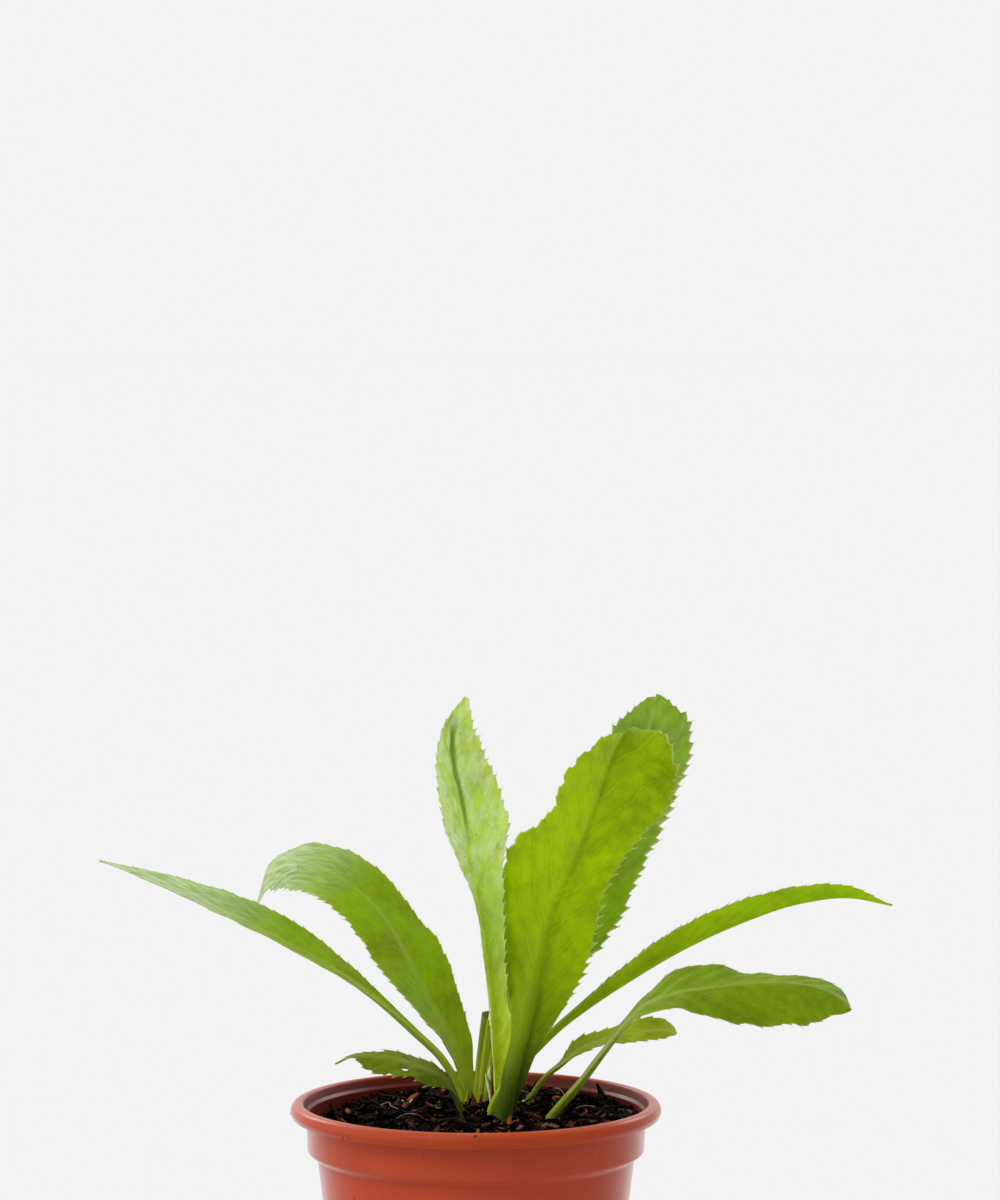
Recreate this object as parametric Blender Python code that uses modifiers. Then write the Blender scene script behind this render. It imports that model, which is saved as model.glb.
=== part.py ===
# Culantro plant in a round plastic pot of bark soil.
#
# Metres, +Z up. The origin is the centre of the pot's flat underside, and the
# pot stands on it. The widest view of the plant is along +Y, with +X to the right.
# The tables below are in millimetres and become metres in the functions.

import math
import random

import bmesh
import bpy
import numpy as np
from mathutils import Matrix, Vector

MM = 0.001
WELD = 0.00001

# Pot, in mm
POT_HEIGHT = 115.0
RIM_RADIUS = 65.0
RIM_DEPTH = 5.1
MOUTH_RADIUS = 60.9
COLLAR_RADIUS = 59.4
COLLAR_DEPTH = 16.5
SHOULDER_RADIUS = 55.5
SHOULDER_DEPTH = 19.4
BASE_RADIUS = 43.7
WALL = 1.1
FLOOR = 2.0
DRAIN_HOLES = 6
DRAIN_RADIUS = 4.0
DRAIN_RING = 28.0
POT_STEPS = 48

# Soil, in mm
SOIL_LEVEL = 109.2
SOIL_GAP = 0.5
SOIL_STEPS = 32
SOIL_RINGS = 7

# Swells of the soil's surface: rise, x and y of the middle, and spread, in mm
SOIL_MOUND = (2.3, 0.0, 22.0, 14.1)
SOIL_DIP = (-3.6, -57.0, 0.0, 18.0)

# Bark chips, in mm: how many, where, and the least and most of each size
CHIP_COUNT = 46
CHIP_SEED = 11
CHIP_FIELD = 51.0
CHIP_CLEARANCE = 8.0
CHIP_LENGTH = (5.0, 11.0)
CHIP_WIDTH = (1.8, 3.4)
CHIP_THICKNESS = (1.2, 2.0)
CHIP_POINT = 0.45
CHIP_TILT = 0.35
CHIP_LIFT = 0.2

# Leaf blades, in mm
BLADE = 0.7
RIB_TIP = 1.0
RIB_TAPER = 1.2
RIDGE = 1.9
RIDGE_TIP = 0.6
RIDGE_SHARE = 0.45
RIDGE_FOOT = 1.25
TOOTH_PITCH = 4.0
TOOTH_HEIGHT = 1.3
TOOTH_LEAN = 1.3
TOOTH_SMALLEST = 0.35
TOOTH_FADE = 12.0
TIP_CLEARANCE = 0.6
STALK_PITCH = 7.0
WAVE_HEIGHT = 0.6
WAVE_LENGTH = 14.0
WAVE_SHIFT = 2.0

# Room round what grows in the soil, in mm, and the shape of a leaf stalk's foot as
# shares of its thickness: how far its middle lies below the rib, and its half depth
HOLE_GAP = 0.8
HOLE_BELOW = 5.0
HOLE_ABOVE = 4.0
ROOT_GAP = 0.8
STALK_MIDDLE = 0.35
STALK_DEPTH = 0.6
CROWN_STEPS = 14

# Root crowns: x, y of the axis, radius, top and tip heights, in mm
CROWNS = {
    "root_crown_front": (5.0, -2.0, 7.0, 100.5, 62.0),
    "root_crown_back": (-0.5, 21.0, 6.0, 100.5, 66.0),
}

# Each leaf: compass heading in degrees (0 is +X, 90 is +Y), rib thickness at the
# foot, station where the teeth begin, then its stations from foot to tip. A station
# is x, y, z of the rib, then half width and lift of the left half and of the right
# half. Left and right are as seen from the foot, and lift is the angle of a half
# above the flat, in degrees.
LEAVES = {
    "leaf_left_long": (176, 2.3, 4, [
        (-3.5, 15.5, 103.5, 1.6, 20, 1.6, 20),
        (-4.5, 17, 114.5, 1.7, 20, 1.7, 20),
        (-11.5, 18, 126.8, 1.7, 30, 1.7, 30),
        (-22.5, 19, 137.2, 1.9, 20, 2, 40),
        (-35.3, 20, 148.2, 3.2, 0, 3.2, 42),
        (-50, 22, 158.2, 6.2, -3, 6.8, 36),
        (-66, 23, 167.3, 9.3, 0, 10.5, 36),
        (-84, 24, 176.5, 10.5, 0, 11.5, 30),
        (-105, 26, 186.5, 8, -5, 8.5, 18),
        (-121, 27, 192.5, 4.5, -5, 4.5, 10),
        (-134, 28, 196.5, 0.6, 0, 0.6, 0),
    ]),
    "leaf_left_arch": (150, 2.6, 2, [
        (-2.5, 23.5, 103.5, 1.7, 20, 1.7, 20),
        (-3, 26, 114.5, 2, 20, 2.6, 30),
        (-7.5, 30, 128, 6, 10, 7.2, 32),
        (-17, 37, 145, 10.8, -5, 12, 35),
        (-25, 44, 160, 13.3, -25, 14, 33),
        (-33, 51, 172.5, 13.5, -27, 12, 26),
        (-44, 59, 182.5, 13, -30, 12.3, 36),
        (-55, 67, 188, 12, -40, 12, 37),
        (-68, 74, 189.2, 11, -50, 11.5, 33),
        (-77, 78, 184.5, 7.5, -55, 8.5, 36),
        (-81, 80, 174, 3, -40, 3, 20),
    ]),
    "leaf_upright": (100, 2.6, 4, [
        (9, 9, 103, 1.8, 20, 1.8, 20),
        (8.5, 8, 115, 2, 30, 2.4, 25),
        (8, 7, 125, 2.4, 45, 5, 33),
        (7, 4, 137, 3, 60, 6.4, 42),
        (5.8, 2, 151.5, 3.6, 66, 6.4, 52),
        (4, 1.5, 165, 4.6, 68, 7.8, 50),
        (1.6, 3, 183, 6.2, 68, 9.8, 46),
        (-1.6, 5.5, 198, 9.2, 55, 13, 40),
        (-3.3, 8, 210, 11.8, 42, 15.3, 28),
        (-5.3, 11, 221, 12, 42, 13.7, 25),
        (-8, 14, 232, 10.2, 45, 12, 28),
        (-8.5, 16.5, 243, 6.4, 50, 9, 25),
        (-3.5, 19, 255.5, 0.6, 40, 0.8, 20),
    ]),
    "leaf_broad": (-90, 4.2, 4, [
        (10, -8.5, 104.5, 2.6, 10, 2.6, 10),
        (11, -9, 115.5, 3.2, 10, 3, 20),
        (12.5, -9.5, 124, 4.8, 15, 4.2, 35),
        (15.5, -9.5, 136, 6.6, 15, 5.6, 56),
        (19, -9.5, 149.5, 11.2, 15, 12.4, 53),
        (22.5, -9.5, 167, 16.5, 15, 19, 42),
        (26.5, -9.5, 183, 16.5, 15, 22.5, 34),
        (32, -10, 196, 15, 20, 25.5, 34),
        (38, -11, 210.5, 18, 20, 17.6, 42),
        (43.5, -12, 226.5, 24, 10, 16.5, 42),
        (48, -12, 239, 23.5, 8, 10, 45),
        (52, -9.5, 245.5, 18.5, 5, 5.5, 40),
        (55, -4, 246.5, 2, 0, 0.8, 20),
    ]),
    "leaf_behind": (65, 2.8, 4, [
        (4.5, 27, 103, 1.8, 20, 1.8, 20),
        (4.5, 28, 114, 1.8, 20, 1.8, 20),
        (5.3, 30, 129, 2, 25, 2.6, 25),
        (9.5, 33, 143, 3, 25, 5.5, 25),
        (19, 37, 156, 7, 25, 13.2, 18),
        (30, 42, 170.3, 12, 25, 19.5, 8),
        (37.5, 47, 184, 15, 25, 20, 5),
        (44, 52, 198, 16, 25, 19.7, 5),
        (51.5, 57, 213.5, 15.5, 22, 20.2, 6),
        (58, 62, 229, 14, 20, 20, 5),
        (62, 66, 240, 10.2, 15, 17, 0),
        (64, 68.5, 247, 6, 12, 11, 0),
        (64.8, 69.3, 250.5, 2.5, 10, 5, 0),
    ]),
    "leaf_right_long": (4, 2.2, 5, [
        (3, 0.5, 104, 1.7, 20, 1.7, 20),
        (5.3, 0.5, 113.2, 1.8, 30, 1.8, 30),
        (11, 1.5, 122.8, 1.8, 30, 1.8, 30),
        (20.3, 4, 132.3, 1.9, 30, 1.9, 30),
        (29.5, 7, 140.5, 2.1, 40, 2, 50),
        (40, 10, 147.8, 3.3, 45, 3, 62),
        (54.5, 14, 156.5, 6, 45, 5.2, 68),
        (72, 18, 166, 8.5, 45, 8.2, 68),
        (93, 22, 175, 9, 40, 9, 65),
        (115, 25, 181.8, 8, 35, 7.6, 60),
        (132.5, 27, 183.5, 5.5, 30, 5, 60),
        (148, 28, 180.5, 0.6, 10, 0.6, 30),
    ]),
    "leaf_right_low": (-5, 2.8, 4, [
        (21, -5, 105.5, 1.8, 20, 1.8, 20),
        (27, -7, 113, 1.9, 25, 1.8, 10),
        (35.3, -9, 122.8, 2.1, 20, 2, -10),
        (44.5, -11, 135.2, 2.5, 15, 2.5, -15),
        (52, -12.5, 144.8, 3.4, 20, 3.6, -20),
        (58.5, -13.5, 151, 5.6, 22, 6, -25),
        (67.5, -14.5, 155, 10.8, 32, 8.6, -28),
        (81, -15.5, 157.5, 13, 31, 12, -55),
        (95, -16.5, 159, 11, 12, 15.2, -68),
        (109, -17.5, 159.3, 9.5, 7, 15.2, -68),
        (120.5, -18.5, 157.3, 8.5, 14, 13.5, -62),
        (126.5, -19.2, 154, 6, 14, 9.5, -58),
        (129, -19.5, 151.5, 2.6, 10, 4.5, -50),
    ]),
    "leaf_right_small": (5, 1.9, 3, [
        (13.5, 14, 106.5, 1.2, 20, 1.2, 20),
        (19, 14.5, 114.5, 1.2, 20, 1.2, 20),
        (24, 15, 121, 1.3, 20, 1.3, 20),
        (30.5, 15.5, 126, 2, 30, 1.6, -10),
        (36.5, 16, 131, 4.5, 40, 3.5, -20),
        (44.5, 17, 134, 5.5, 25, 4.5, -15),
        (54.5, 18, 136, 6.2, 25, 5.5, -25),
        (62.5, 19, 137, 6.5, 35, 5, -30),
        (68, 19.7, 136.8, 5, 38, 3.8, -30),
        (70.5, 20, 136, 2.6, 30, 1.8, -20),
    ]),
    "leaf_left_small": (182, 2.2, 2, [
        (-1.5, -9, 106.5, 1.5, 10, 1.5, 10),
        (-4.5, -9.5, 114, 1.6, 10, 1.6, 10),
        (-8, -10, 121, 2.2, -20, 1.8, 30),
        (-12.5, -10.5, 126, 6, -45, 3.5, 30),
        (-19.5, -11, 129, 7, -35, 5, 25),
        (-28, -11.5, 131.8, 7, -36, 5.5, 20),
        (-37, -12, 133, 7, -42, 4, 12),
        (-42, -12.4, 133.3, 2, -25, 2, 5),
        (-49, -13, 130.5, 0.6, 0, 0.6, 0),
    ]),
}

# The leaf stalk that has lost its blade: x, y, z and radius, from foot to cut end,
# and how much the cut falls to the right for each mm across
STALK_CUT = [
    (0.4, 20, 104, 2.1),
    (0.9, 20.2, 118, 1.9),
    (1.9, 20.6, 131, 1.7),
    (3.2, 21, 143.5, 1.5),
]
CUT_SLANT = 0.8

# Finishes: base colour, roughness, metallic
FINISHES = {
    "pot": ((0.36, 0.075, 0.04), 0.38, 0.0),
    "soil": ((0.018, 0.010, 0.007), 0.95, 0.0),
    "leaf": ((0.26, 0.42, 0.06), 0.45, 0.0),
    "leaf_under": ((0.24, 0.42, 0.01), 0.5, 0.0),
    "leaf_dark": ((0.13, 0.25, 0.03), 0.4, 0.0),
    "stalk": ((0.26, 0.36, 0.03), 0.5, 0.0),
    "root": ((0.55, 0.45, 0.30), 0.7, 0.0),
}

# Leaves that differ from the plain leaf finish
LEAF_FINISHES = {
    "leaf_broad": "leaf_under",
    "leaf_right_low": "leaf_dark",
    "leaf_right_small": "leaf_dark",
    "leaf_left_small": "leaf_dark",
}


def clear_scene():
    """Remove every object, so that the file holds only this model."""
    for item in list(bpy.data.objects):
        bpy.data.objects.remove(item, do_unlink=True)


def make_collection(name):
    """Add a collection to the scene and return it."""
    group = bpy.data.collections.new(name)
    bpy.context.scene.collection.children.link(group)
    return group


def make_object(name, mesh, group):
    """Put a mesh into the scene under a name."""
    item = bpy.data.objects.new(name, mesh)
    group.objects.link(item)
    return item


def finish(item, key):
    """Give an object its own Principled material from the table of finishes."""
    colour, roughness, metallic = FINISHES[key]
    material = bpy.data.materials.new(item.name)
    material.use_nodes = True
    shader = material.node_tree.nodes["Principled BSDF"]
    shader.inputs["Base Color"].default_value = (*colour, 1.0)
    shader.inputs["Roughness"].default_value = roughness
    shader.inputs["Metallic"].default_value = metallic
    item.data.materials.clear()
    item.data.materials.append(material)


def evaluated_mesh(item):
    """The mesh of an object with its modifiers worked out."""
    graph = bpy.context.evaluated_depsgraph_get()
    return bpy.data.meshes.new_from_object(item.evaluated_get(graph))


def bake_modifiers(item):
    """Replace an object's mesh by the one that its modifiers give."""
    mesh = evaluated_mesh(item)
    item.modifiers.clear()
    item.data = mesh


def turned(name, profile, steps, group):
    """Turn a profile of (radius, height) points in mm round the Z axis."""
    mesh = bpy.data.meshes.new(name)
    points = [(radius * MM, 0.0, height * MM) for radius, height in profile]
    edges = [(i, i + 1) for i in range(len(points) - 1)]
    mesh.from_pydata(points, edges, [])
    item = make_object(name, mesh, group)
    screw = item.modifiers.new("turn", "SCREW")
    screw.steps = steps
    screw.render_steps = steps
    screw.use_merge_vertices = True
    screw.merge_threshold = WELD
    return item


def boolean(item, operation, group):
    """Cut an object with a collection of solids, or join them to it, for good."""
    change = item.modifiers.new(operation.lower(), "BOOLEAN")
    change.operation = operation
    change.operand_type = "COLLECTION"
    change.collection = group
    bake_modifiers(item)
    for other in list(group.objects):
        bpy.data.objects.remove(other, do_unlink=True)
    bpy.data.collections.remove(group)


def tube(name, stations, group):
    """A round tube with closed ends through (x, y, z, radius) stations in mm."""
    curve = bpy.data.curves.new(name, "CURVE")
    curve.dimensions = "3D"
    curve.bevel_depth = MM
    curve.bevel_resolution = 2
    curve.use_fill_caps = True
    spline = curve.splines.new("POLY")
    spline.points.add(len(stations) - 1)
    for point, (x, y, z, radius) in zip(spline.points, stations):
        point.co = (x * MM, y * MM, z * MM, 1.0)
        point.radius = radius
    item = make_object(name + "_path", curve, group)
    mesh = evaluated_mesh(item)
    bpy.data.objects.remove(item, do_unlink=True)
    work = bmesh.new()
    work.from_mesh(mesh)
    bmesh.ops.remove_doubles(work, verts=work.verts, dist=WELD)
    work.to_mesh(mesh)
    work.free()
    return make_object(name, mesh, group)


# Pot

def pot_profile():
    """The pot's section: inside from the axis to the mouth, then outside down."""
    top = POT_HEIGHT
    rim_low = top - RIM_DEPTH
    collar_low = top - COLLAR_DEPTH
    shoulder_low = top - SHOULDER_DEPTH
    inner_base = BASE_RADIUS - WALL - 0.8
    return [
        (0.0, FLOOR),
        (inner_base, FLOOR),
        (inner_base + 1.0, FLOOR + 1.5),
        (SHOULDER_RADIUS - WALL, shoulder_low + 0.4),
        (COLLAR_RADIUS - WALL - 0.2, collar_low + 0.8),
        (COLLAR_RADIUS - 0.9, top - 4.0),
        (COLLAR_RADIUS + 0.2, top - 3.0),
        (MOUTH_RADIUS - 0.4, top - 0.6),
        (MOUTH_RADIUS + 0.5, top),
        (RIM_RADIUS - 1.9, top - 0.4),
        (RIM_RADIUS - 0.5, top - 1.4),
        (RIM_RADIUS, top - 2.9),
        (RIM_RADIUS - 0.7, rim_low),
        (COLLAR_RADIUS, rim_low),
        (COLLAR_RADIUS - 0.4, collar_low),
        (COLLAR_RADIUS - 1.4, collar_low - 1.6),
        (SHOULDER_RADIUS, shoulder_low),
        (BASE_RADIUS + 0.2, 1.6),
        (BASE_RADIUS - 1.4, 0.0),
        (0.0, 0.0),
    ]


def build_pot(group):
    """The moulded pot, with a ring of drain holes through its base."""
    pot = turned("pot", pot_profile(), POT_STEPS, group)
    bake_modifiers(pot)
    drills = make_collection("drills")
    for i in range(DRAIN_HOLES):
        turn = 2 * math.pi * (i + 0.5) / DRAIN_HOLES
        work = bmesh.new()
        place = Vector((math.cos(turn), math.sin(turn), 0.0)) * DRAIN_RING * MM
        place.z = FLOOR / 2 * MM
        bmesh.ops.create_cone(work, cap_ends=True, segments=12, radius1=DRAIN_RADIUS * MM,
                              radius2=DRAIN_RADIUS * MM, depth=3 * FLOOR * MM,
                              matrix=Matrix.Translation(place))
        mesh = bpy.data.meshes.new("drill")
        work.to_mesh(mesh)
        work.free()
        make_object("drill", mesh, drills)
    boolean(pot, "DIFFERENCE", drills)
    pot.data.shade_smooth()
    pot.data.set_sharp_from_angle(angle=math.radians(35))
    finish(pot, "pot")
    return pot


# Leaves

def smooth_values(knots, values, at):
    """Smooth curve through a row of values at each knot, read at new places."""
    slopes = np.gradient(values, knots, axis=0)
    i = np.clip(np.searchsorted(knots, at, side="right") - 1, 0, len(knots) - 2)
    span = (knots[i + 1] - knots[i])[:, None]
    f = (at - knots[i])[:, None] / span
    first = (2 * f**3 - 3 * f**2 + 1) * values[i] + (f**3 - 2 * f**2 + f) * span * slopes[i]
    second = (3 * f**2 - 2 * f**3) * values[i + 1] + (f**3 - f**2) * span * slopes[i + 1]
    return first + second


def leaf_knots(stations):
    """Distance along the rib at each station, foot to tip."""
    steps = np.linalg.norm(np.diff(stations[:, :3], axis=0), axis=1)
    return np.concatenate([[0.0], np.cumsum(steps)])


def leaf_frame(heading, rib, at):
    """The leaf's left and upper directions along its rib."""
    forward = np.gradient(rib, at, axis=0)
    forward /= np.linalg.norm(forward, axis=1)[:, None]
    turn = math.radians(heading)
    flat = np.array([-math.sin(turn), math.cos(turn), 0.0])
    left = flat - (forward @ flat)[:, None] * forward
    left /= np.linalg.norm(left, axis=1)[:, None]
    return left, np.cross(forward, left)


def leaf_point(heading, stations, at, side, across, beyond=0.0):
    """Points of one half of the upper face.

    side is 1 for the left half and -1 for the right. across runs from 0 at the rib
    to 1 at the margin, and beyond adds a length past the margin. The half lies at
    its lift angle above the flat, and its outer part waves up and down.
    """
    values = smooth_values(leaf_knots(stations), stations, at)
    rib = values[:, :3]
    left, up = leaf_frame(heading, rib, at)
    width = values[:, 3] if side > 0 else values[:, 5]
    lift = np.radians(values[:, 4] if side > 0 else values[:, 6])
    reach = width * across + beyond
    wave = np.sin(2 * math.pi * at / WAVE_LENGTH + (0.0 if side > 0 else WAVE_SHIFT))
    ripple = WAVE_HEIGHT * np.minimum(width / 10, 1) * across**2 * wave
    return (rib + (side * reach * np.cos(lift))[:, None] * left
            + (reach * np.sin(lift) + ripple)[:, None] * up)


def leaf_rows(stations, toothed):
    """Places of the cross rows: far apart on the stalk, one a tooth on the blade."""
    knots = leaf_knots(stations)
    start = knots[toothed]
    stalk = np.linspace(0, start, max(2, round(start / STALK_PITCH)) + 1)
    teeth = round((knots[-1] - start) / TOOTH_PITCH)
    return np.concatenate([stalk, np.linspace(start, knots[-1], teeth + 1)[1:]]), len(stalk) - 1


def build_leaf(name, group):
    """One leaf: a grid over both halves, toothed at its margins, then given thickness."""
    heading, rib_thick, toothed, table = LEAVES[name]
    stations = np.array(table, dtype=float)
    rows, first_tooth = leaf_rows(stations, toothed)
    values = smooth_values(leaf_knots(stations), stations, rows)
    along = rows / rows[-1]
    thick = RIB_TIP + (rib_thick - RIB_TIP) * (1 - along) ** RIB_TAPER
    ridge = RIDGE_TIP + (RIDGE - RIDGE_TIP) * (1 - along)

    columns = []
    depths = []
    for side, place in ((1, 3), (1, 2), (1, 1), (1, 0), (-1, 1), (-1, 2), (-1, 3)):
        width = values[:, 3] if side > 0 else values[:, 5]
        near = np.minimum(ridge, RIDGE_SHARE * width) / width
        across = {0: 0 * near, 1: near, 2: (near + 1) / 2, 3: 0 * near + 1}[place]
        columns.append(leaf_point(heading, stations, rows, side, across))
        fade = np.maximum(0, 1 - (across * width / (RIDGE_FOOT * ridge)) ** 2)
        depths.append(BLADE + (thick - BLADE) * fade)

    work = bmesh.new()
    bmesh.ops.create_grid(work, x_segments=len(columns) - 1, y_segments=len(rows) - 1, size=1.0)
    depth_layer = work.verts.layers.float.new("depth")
    place_of = {}
    for vert in work.verts:
        column = round((vert.co.x + 1) / 2 * (len(columns) - 1))
        row = round((vert.co.y + 1) / 2 * (len(rows) - 1))
        place_of[vert] = (column, row)
        vert.co = Vector(columns[column][row]) * MM
        vert[depth_layer] = depths[column][row]

    margins = []
    for edge in work.edges:
        (column, row), (other, next_row) = place_of[edge.verts[0]], place_of[edge.verts[1]]
        row = min(row, next_row)
        if column == other and column in (0, len(columns) - 1) and row >= first_tooth:
            margins.append((edge, 1 if column == 0 else -1, row))
    for edge, side, row in margins:
        middle = (rows[row] + rows[row + 1]) / 2 + TOOTH_LEAN
        size = max(TOOTH_SMALLEST, min(1.0, (rows[-1] - middle) / TOOTH_FADE))
        middle = min(middle, rows[-1] - TIP_CLEARANCE)
        span = middle + TIP_CLEARANCE * np.array([-0.5, 0.0, 0.5])
        tip = leaf_point(heading, stations, span, side, 1.0, TOOTH_HEIGHT * size)[1]
        vert = bmesh.utils.edge_split(edge, edge.verts[0], 0.5)[1]
        vert.co = Vector(tip) * MM
        vert[depth_layer] = BLADE

    bmesh.ops.triangulate(work, faces=work.faces, quad_method="SHORT_EDGE")
    depth_of = [vert[depth_layer] for vert in work.verts]
    mesh = bpy.data.meshes.new(name)
    work.to_mesh(mesh)
    work.free()

    leaf = make_object(name, mesh, group)
    weights = leaf.vertex_groups.new(name="thickness")
    most = max(depth_of)
    for i, depth in enumerate(depth_of):
        weights.add([i], depth / most, "REPLACE")
    solid = leaf.modifiers.new("thickness", "SOLIDIFY")
    solid.thickness = most * MM
    solid.offset = -1.0
    solid.vertex_group = weights.name
    leaf.data.shade_smooth()
    finish(leaf, LEAF_FINISHES.get(name, "leaf"))
    return leaf


def build_stalk(group):
    """The cut stalk, a tapered rod with a slanted end."""
    stalk = tube("stalk_cut", STALK_CUT, group)
    end_x, _, end_z, end_radius = STALK_CUT[-1]
    for vert in stalk.data.vertices:
        if vert.co.z > (end_z - end_radius) * MM:
            vert.co.z -= CUT_SLANT * (vert.co.x - end_x * MM)
    stalk.data.shade_smooth()
    finish(stalk, "stalk")
    return stalk


# Soil and roots

def crown_profile(radius, top, tip, grow=0.0):
    """Section of a root crown: a domed shoulder that tapers to a root tip."""
    return [
        (0.0, top + grow),
        (0.7 * radius + grow, top - 1.0 + grow),
        (radius + grow, top - 4.0),
        (0.75 * radius + grow, top - 12.0),
        (0.35 * radius + grow, (top + tip) / 2 - 4),
        (1.2 + grow, tip + 3.0),
        (0.0, tip - grow),
    ]


def place_crown(item, x, y):
    """Carry a turned root to its place in the soil."""
    bake_modifiers(item)
    item.data.transform(Matrix.Translation((x * MM, y * MM, 0.0)))


def build_crowns(group):
    """The two root crowns that the leaf stalks grow from."""
    for name, (x, y, radius, top, tip) in CROWNS.items():
        crown = turned(name, crown_profile(radius, top, tip), CROWN_STEPS, group)
        place_crown(crown, x, y)
        crown.data.shade_smooth()
        finish(crown, "root")


def swell(x, y, rise, middle_x, middle_y, spread):
    """Height of a bell-shaped swell at a place, in mm."""
    return rise * math.exp(-((x - middle_x) ** 2 + (y - middle_y) ** 2) / (2 * spread**2))


def soil_height(x, y):
    """Height of the soil in mm: raised round the back crown, low at the left edge, lumpy."""
    wide = 0.5 * math.sin(0.31 * x + 1.3) * math.sin(0.27 * y)
    fine = 0.35 * math.sin(0.5 * x - 0.43 * y)
    return SOIL_LEVEL + swell(x, y, *SOIL_MOUND) + swell(x, y, *SOIL_DIP) + wide + fine


def soil_profile():
    """Section of the soil: rings out over the top, then down the inside of the pot."""
    edge = COLLAR_RADIUS - WALL - 0.2 - SOIL_GAP
    collar_low = POT_HEIGHT - COLLAR_DEPTH
    shoulder_low = POT_HEIGHT - SHOULDER_DEPTH
    rings = [(edge * i / SOIL_RINGS, SOIL_LEVEL) for i in range(SOIL_RINGS + 1)]
    walls = [
        (edge - 0.2, collar_low + 1.6),
        (SHOULDER_RADIUS - WALL - SOIL_GAP, shoulder_low + 0.4),
        (BASE_RADIUS - WALL - 1.2, FLOOR + 2.2),
        (BASE_RADIUS - WALL - 2.4, FLOOR + 0.5),
        (0.0, FLOOR + 0.5),
    ]
    return rings + walls


def stalk_feet():
    """Where each stalk enters the soil: two points of its axis and its radius."""
    feet = []
    for heading, thick, _, table in LEAVES.values():
        stations = np.array(table, dtype=float)
        rib = stations[:2, :3]
        up = leaf_frame(heading, rib, leaf_knots(stations)[:2])[1]
        half_width = max(stations[0, 3], stations[1, 3])
        radius = math.hypot(half_width, STALK_DEPTH * thick)
        feet.append((rib - STALK_MIDDLE * thick * up, radius))
    stub = np.array(STALK_CUT)
    feet.append((stub[:2, :3], stub[0, 3]))
    return feet


def add_chips(soil):
    """Bark chips: small pointed splinters laid over the soil and joined to it."""
    draw = random.Random(CHIP_SEED)
    chips = make_collection("chips")
    feet = [points.mean(axis=0) for points, _ in stalk_feet()]
    while len(chips.objects) < CHIP_COUNT:
        radius = CHIP_FIELD * math.sqrt(draw.random())
        turn = draw.uniform(0, 2 * math.pi)
        x, y = radius * math.cos(turn), radius * math.sin(turn)
        if min(math.hypot(x - foot[0], y - foot[1]) for foot in feet) < CHIP_CLEARANCE:
            continue
        size = Vector([draw.uniform(*pair) for pair in (CHIP_LENGTH, CHIP_WIDTH, CHIP_THICKNESS)])
        work = bmesh.new()
        bmesh.ops.create_cube(work, size=1.0)
        for vert in work.verts:
            vert.co.y *= CHIP_POINT if vert.co.x > 0 else 1.0
            vert.co *= size * MM
        tilt = Matrix.Rotation(draw.uniform(-CHIP_TILT, CHIP_TILT), 4, "Y")
        spin = Matrix.Rotation(draw.uniform(0, 2 * math.pi), 4, "Z")
        place = Matrix.Translation(Vector((x, y, soil_height(x, y) + CHIP_LIFT)) * MM)
        work.transform(place @ spin @ tilt)
        mesh = bpy.data.meshes.new("chip")
        work.to_mesh(mesh)
        work.free()
        make_object("chip", mesh, chips)
    boolean(soil, "UNION", chips)


def cut_holes(soil):
    """Plain holes for the stalks, and the hollows that the root crowns sit in."""
    holes = make_collection("holes")
    for name, (x, y, radius, top, tip) in CROWNS.items():
        section = crown_profile(radius, top, tip, ROOT_GAP)
        hollow = turned(name + "_hollow", section, CROWN_STEPS, holes)
        place_crown(hollow, x, y)
    for points, stalk_radius in stalk_feet():
        rise = points[1] - points[0]
        rise /= np.linalg.norm(rise)
        bottom = points[0] - HOLE_BELOW * rise
        top = points[1] + HOLE_ABOVE * rise
        radius = stalk_radius + HOLE_GAP
        tube("hole", [(*bottom, radius), (*top, radius)], holes)
    boolean(soil, "DIFFERENCE", holes)


def build_soil(group):
    """The soil, bumpy on top, with bark chips and holes for what grows in it."""
    soil = turned("soil", soil_profile(), SOIL_STEPS, group)
    bake_modifiers(soil)
    for vert in soil.data.vertices:
        if vert.co.z > (SOIL_LEVEL - 0.1) * MM:
            vert.co.z = soil_height(vert.co.x / MM, vert.co.y / MM) * MM
    add_chips(soil)
    cut_holes(soil)
    finish(soil, "soil")
    return soil


def build():
    """Make the whole plant in its pot."""
    clear_scene()
    plant = make_collection("culantro_in_pot")
    build_pot(plant)
    build_soil(plant)
    build_crowns(plant)
    for name in LEAVES:
        build_leaf(name, plant)
    build_stalk(plant)


build()
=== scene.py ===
# %% [markdown]
# # Culantro growing in a plastic pot
#
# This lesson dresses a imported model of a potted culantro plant: a rosette of long, saw-toothed
# leaves in a terracotta-coloured pot of bark soil. The solids of the model fix where everything
# is and how big it is. Each cell below makes one piece or one finish on top of them, with arrays
# of points worked out in numpy. Lengths in the tables are in millimetres, and they become metres
# when a mesh is made.

# %% Load the model
import math

import bpy
import numpy as np
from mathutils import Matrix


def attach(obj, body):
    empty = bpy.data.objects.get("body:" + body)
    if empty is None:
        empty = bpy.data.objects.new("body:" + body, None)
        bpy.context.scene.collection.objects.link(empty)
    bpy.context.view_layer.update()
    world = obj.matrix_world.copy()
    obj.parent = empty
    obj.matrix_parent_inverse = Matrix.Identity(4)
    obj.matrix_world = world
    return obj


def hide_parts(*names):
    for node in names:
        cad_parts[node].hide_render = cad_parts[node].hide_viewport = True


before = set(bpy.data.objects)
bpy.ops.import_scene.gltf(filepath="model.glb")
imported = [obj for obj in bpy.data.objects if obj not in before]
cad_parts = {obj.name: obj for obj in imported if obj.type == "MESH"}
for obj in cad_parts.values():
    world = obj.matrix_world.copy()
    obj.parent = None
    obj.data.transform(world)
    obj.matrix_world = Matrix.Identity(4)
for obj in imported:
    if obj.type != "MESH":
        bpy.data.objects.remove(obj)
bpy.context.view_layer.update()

MM = 0.001
SEED = 21

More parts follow.
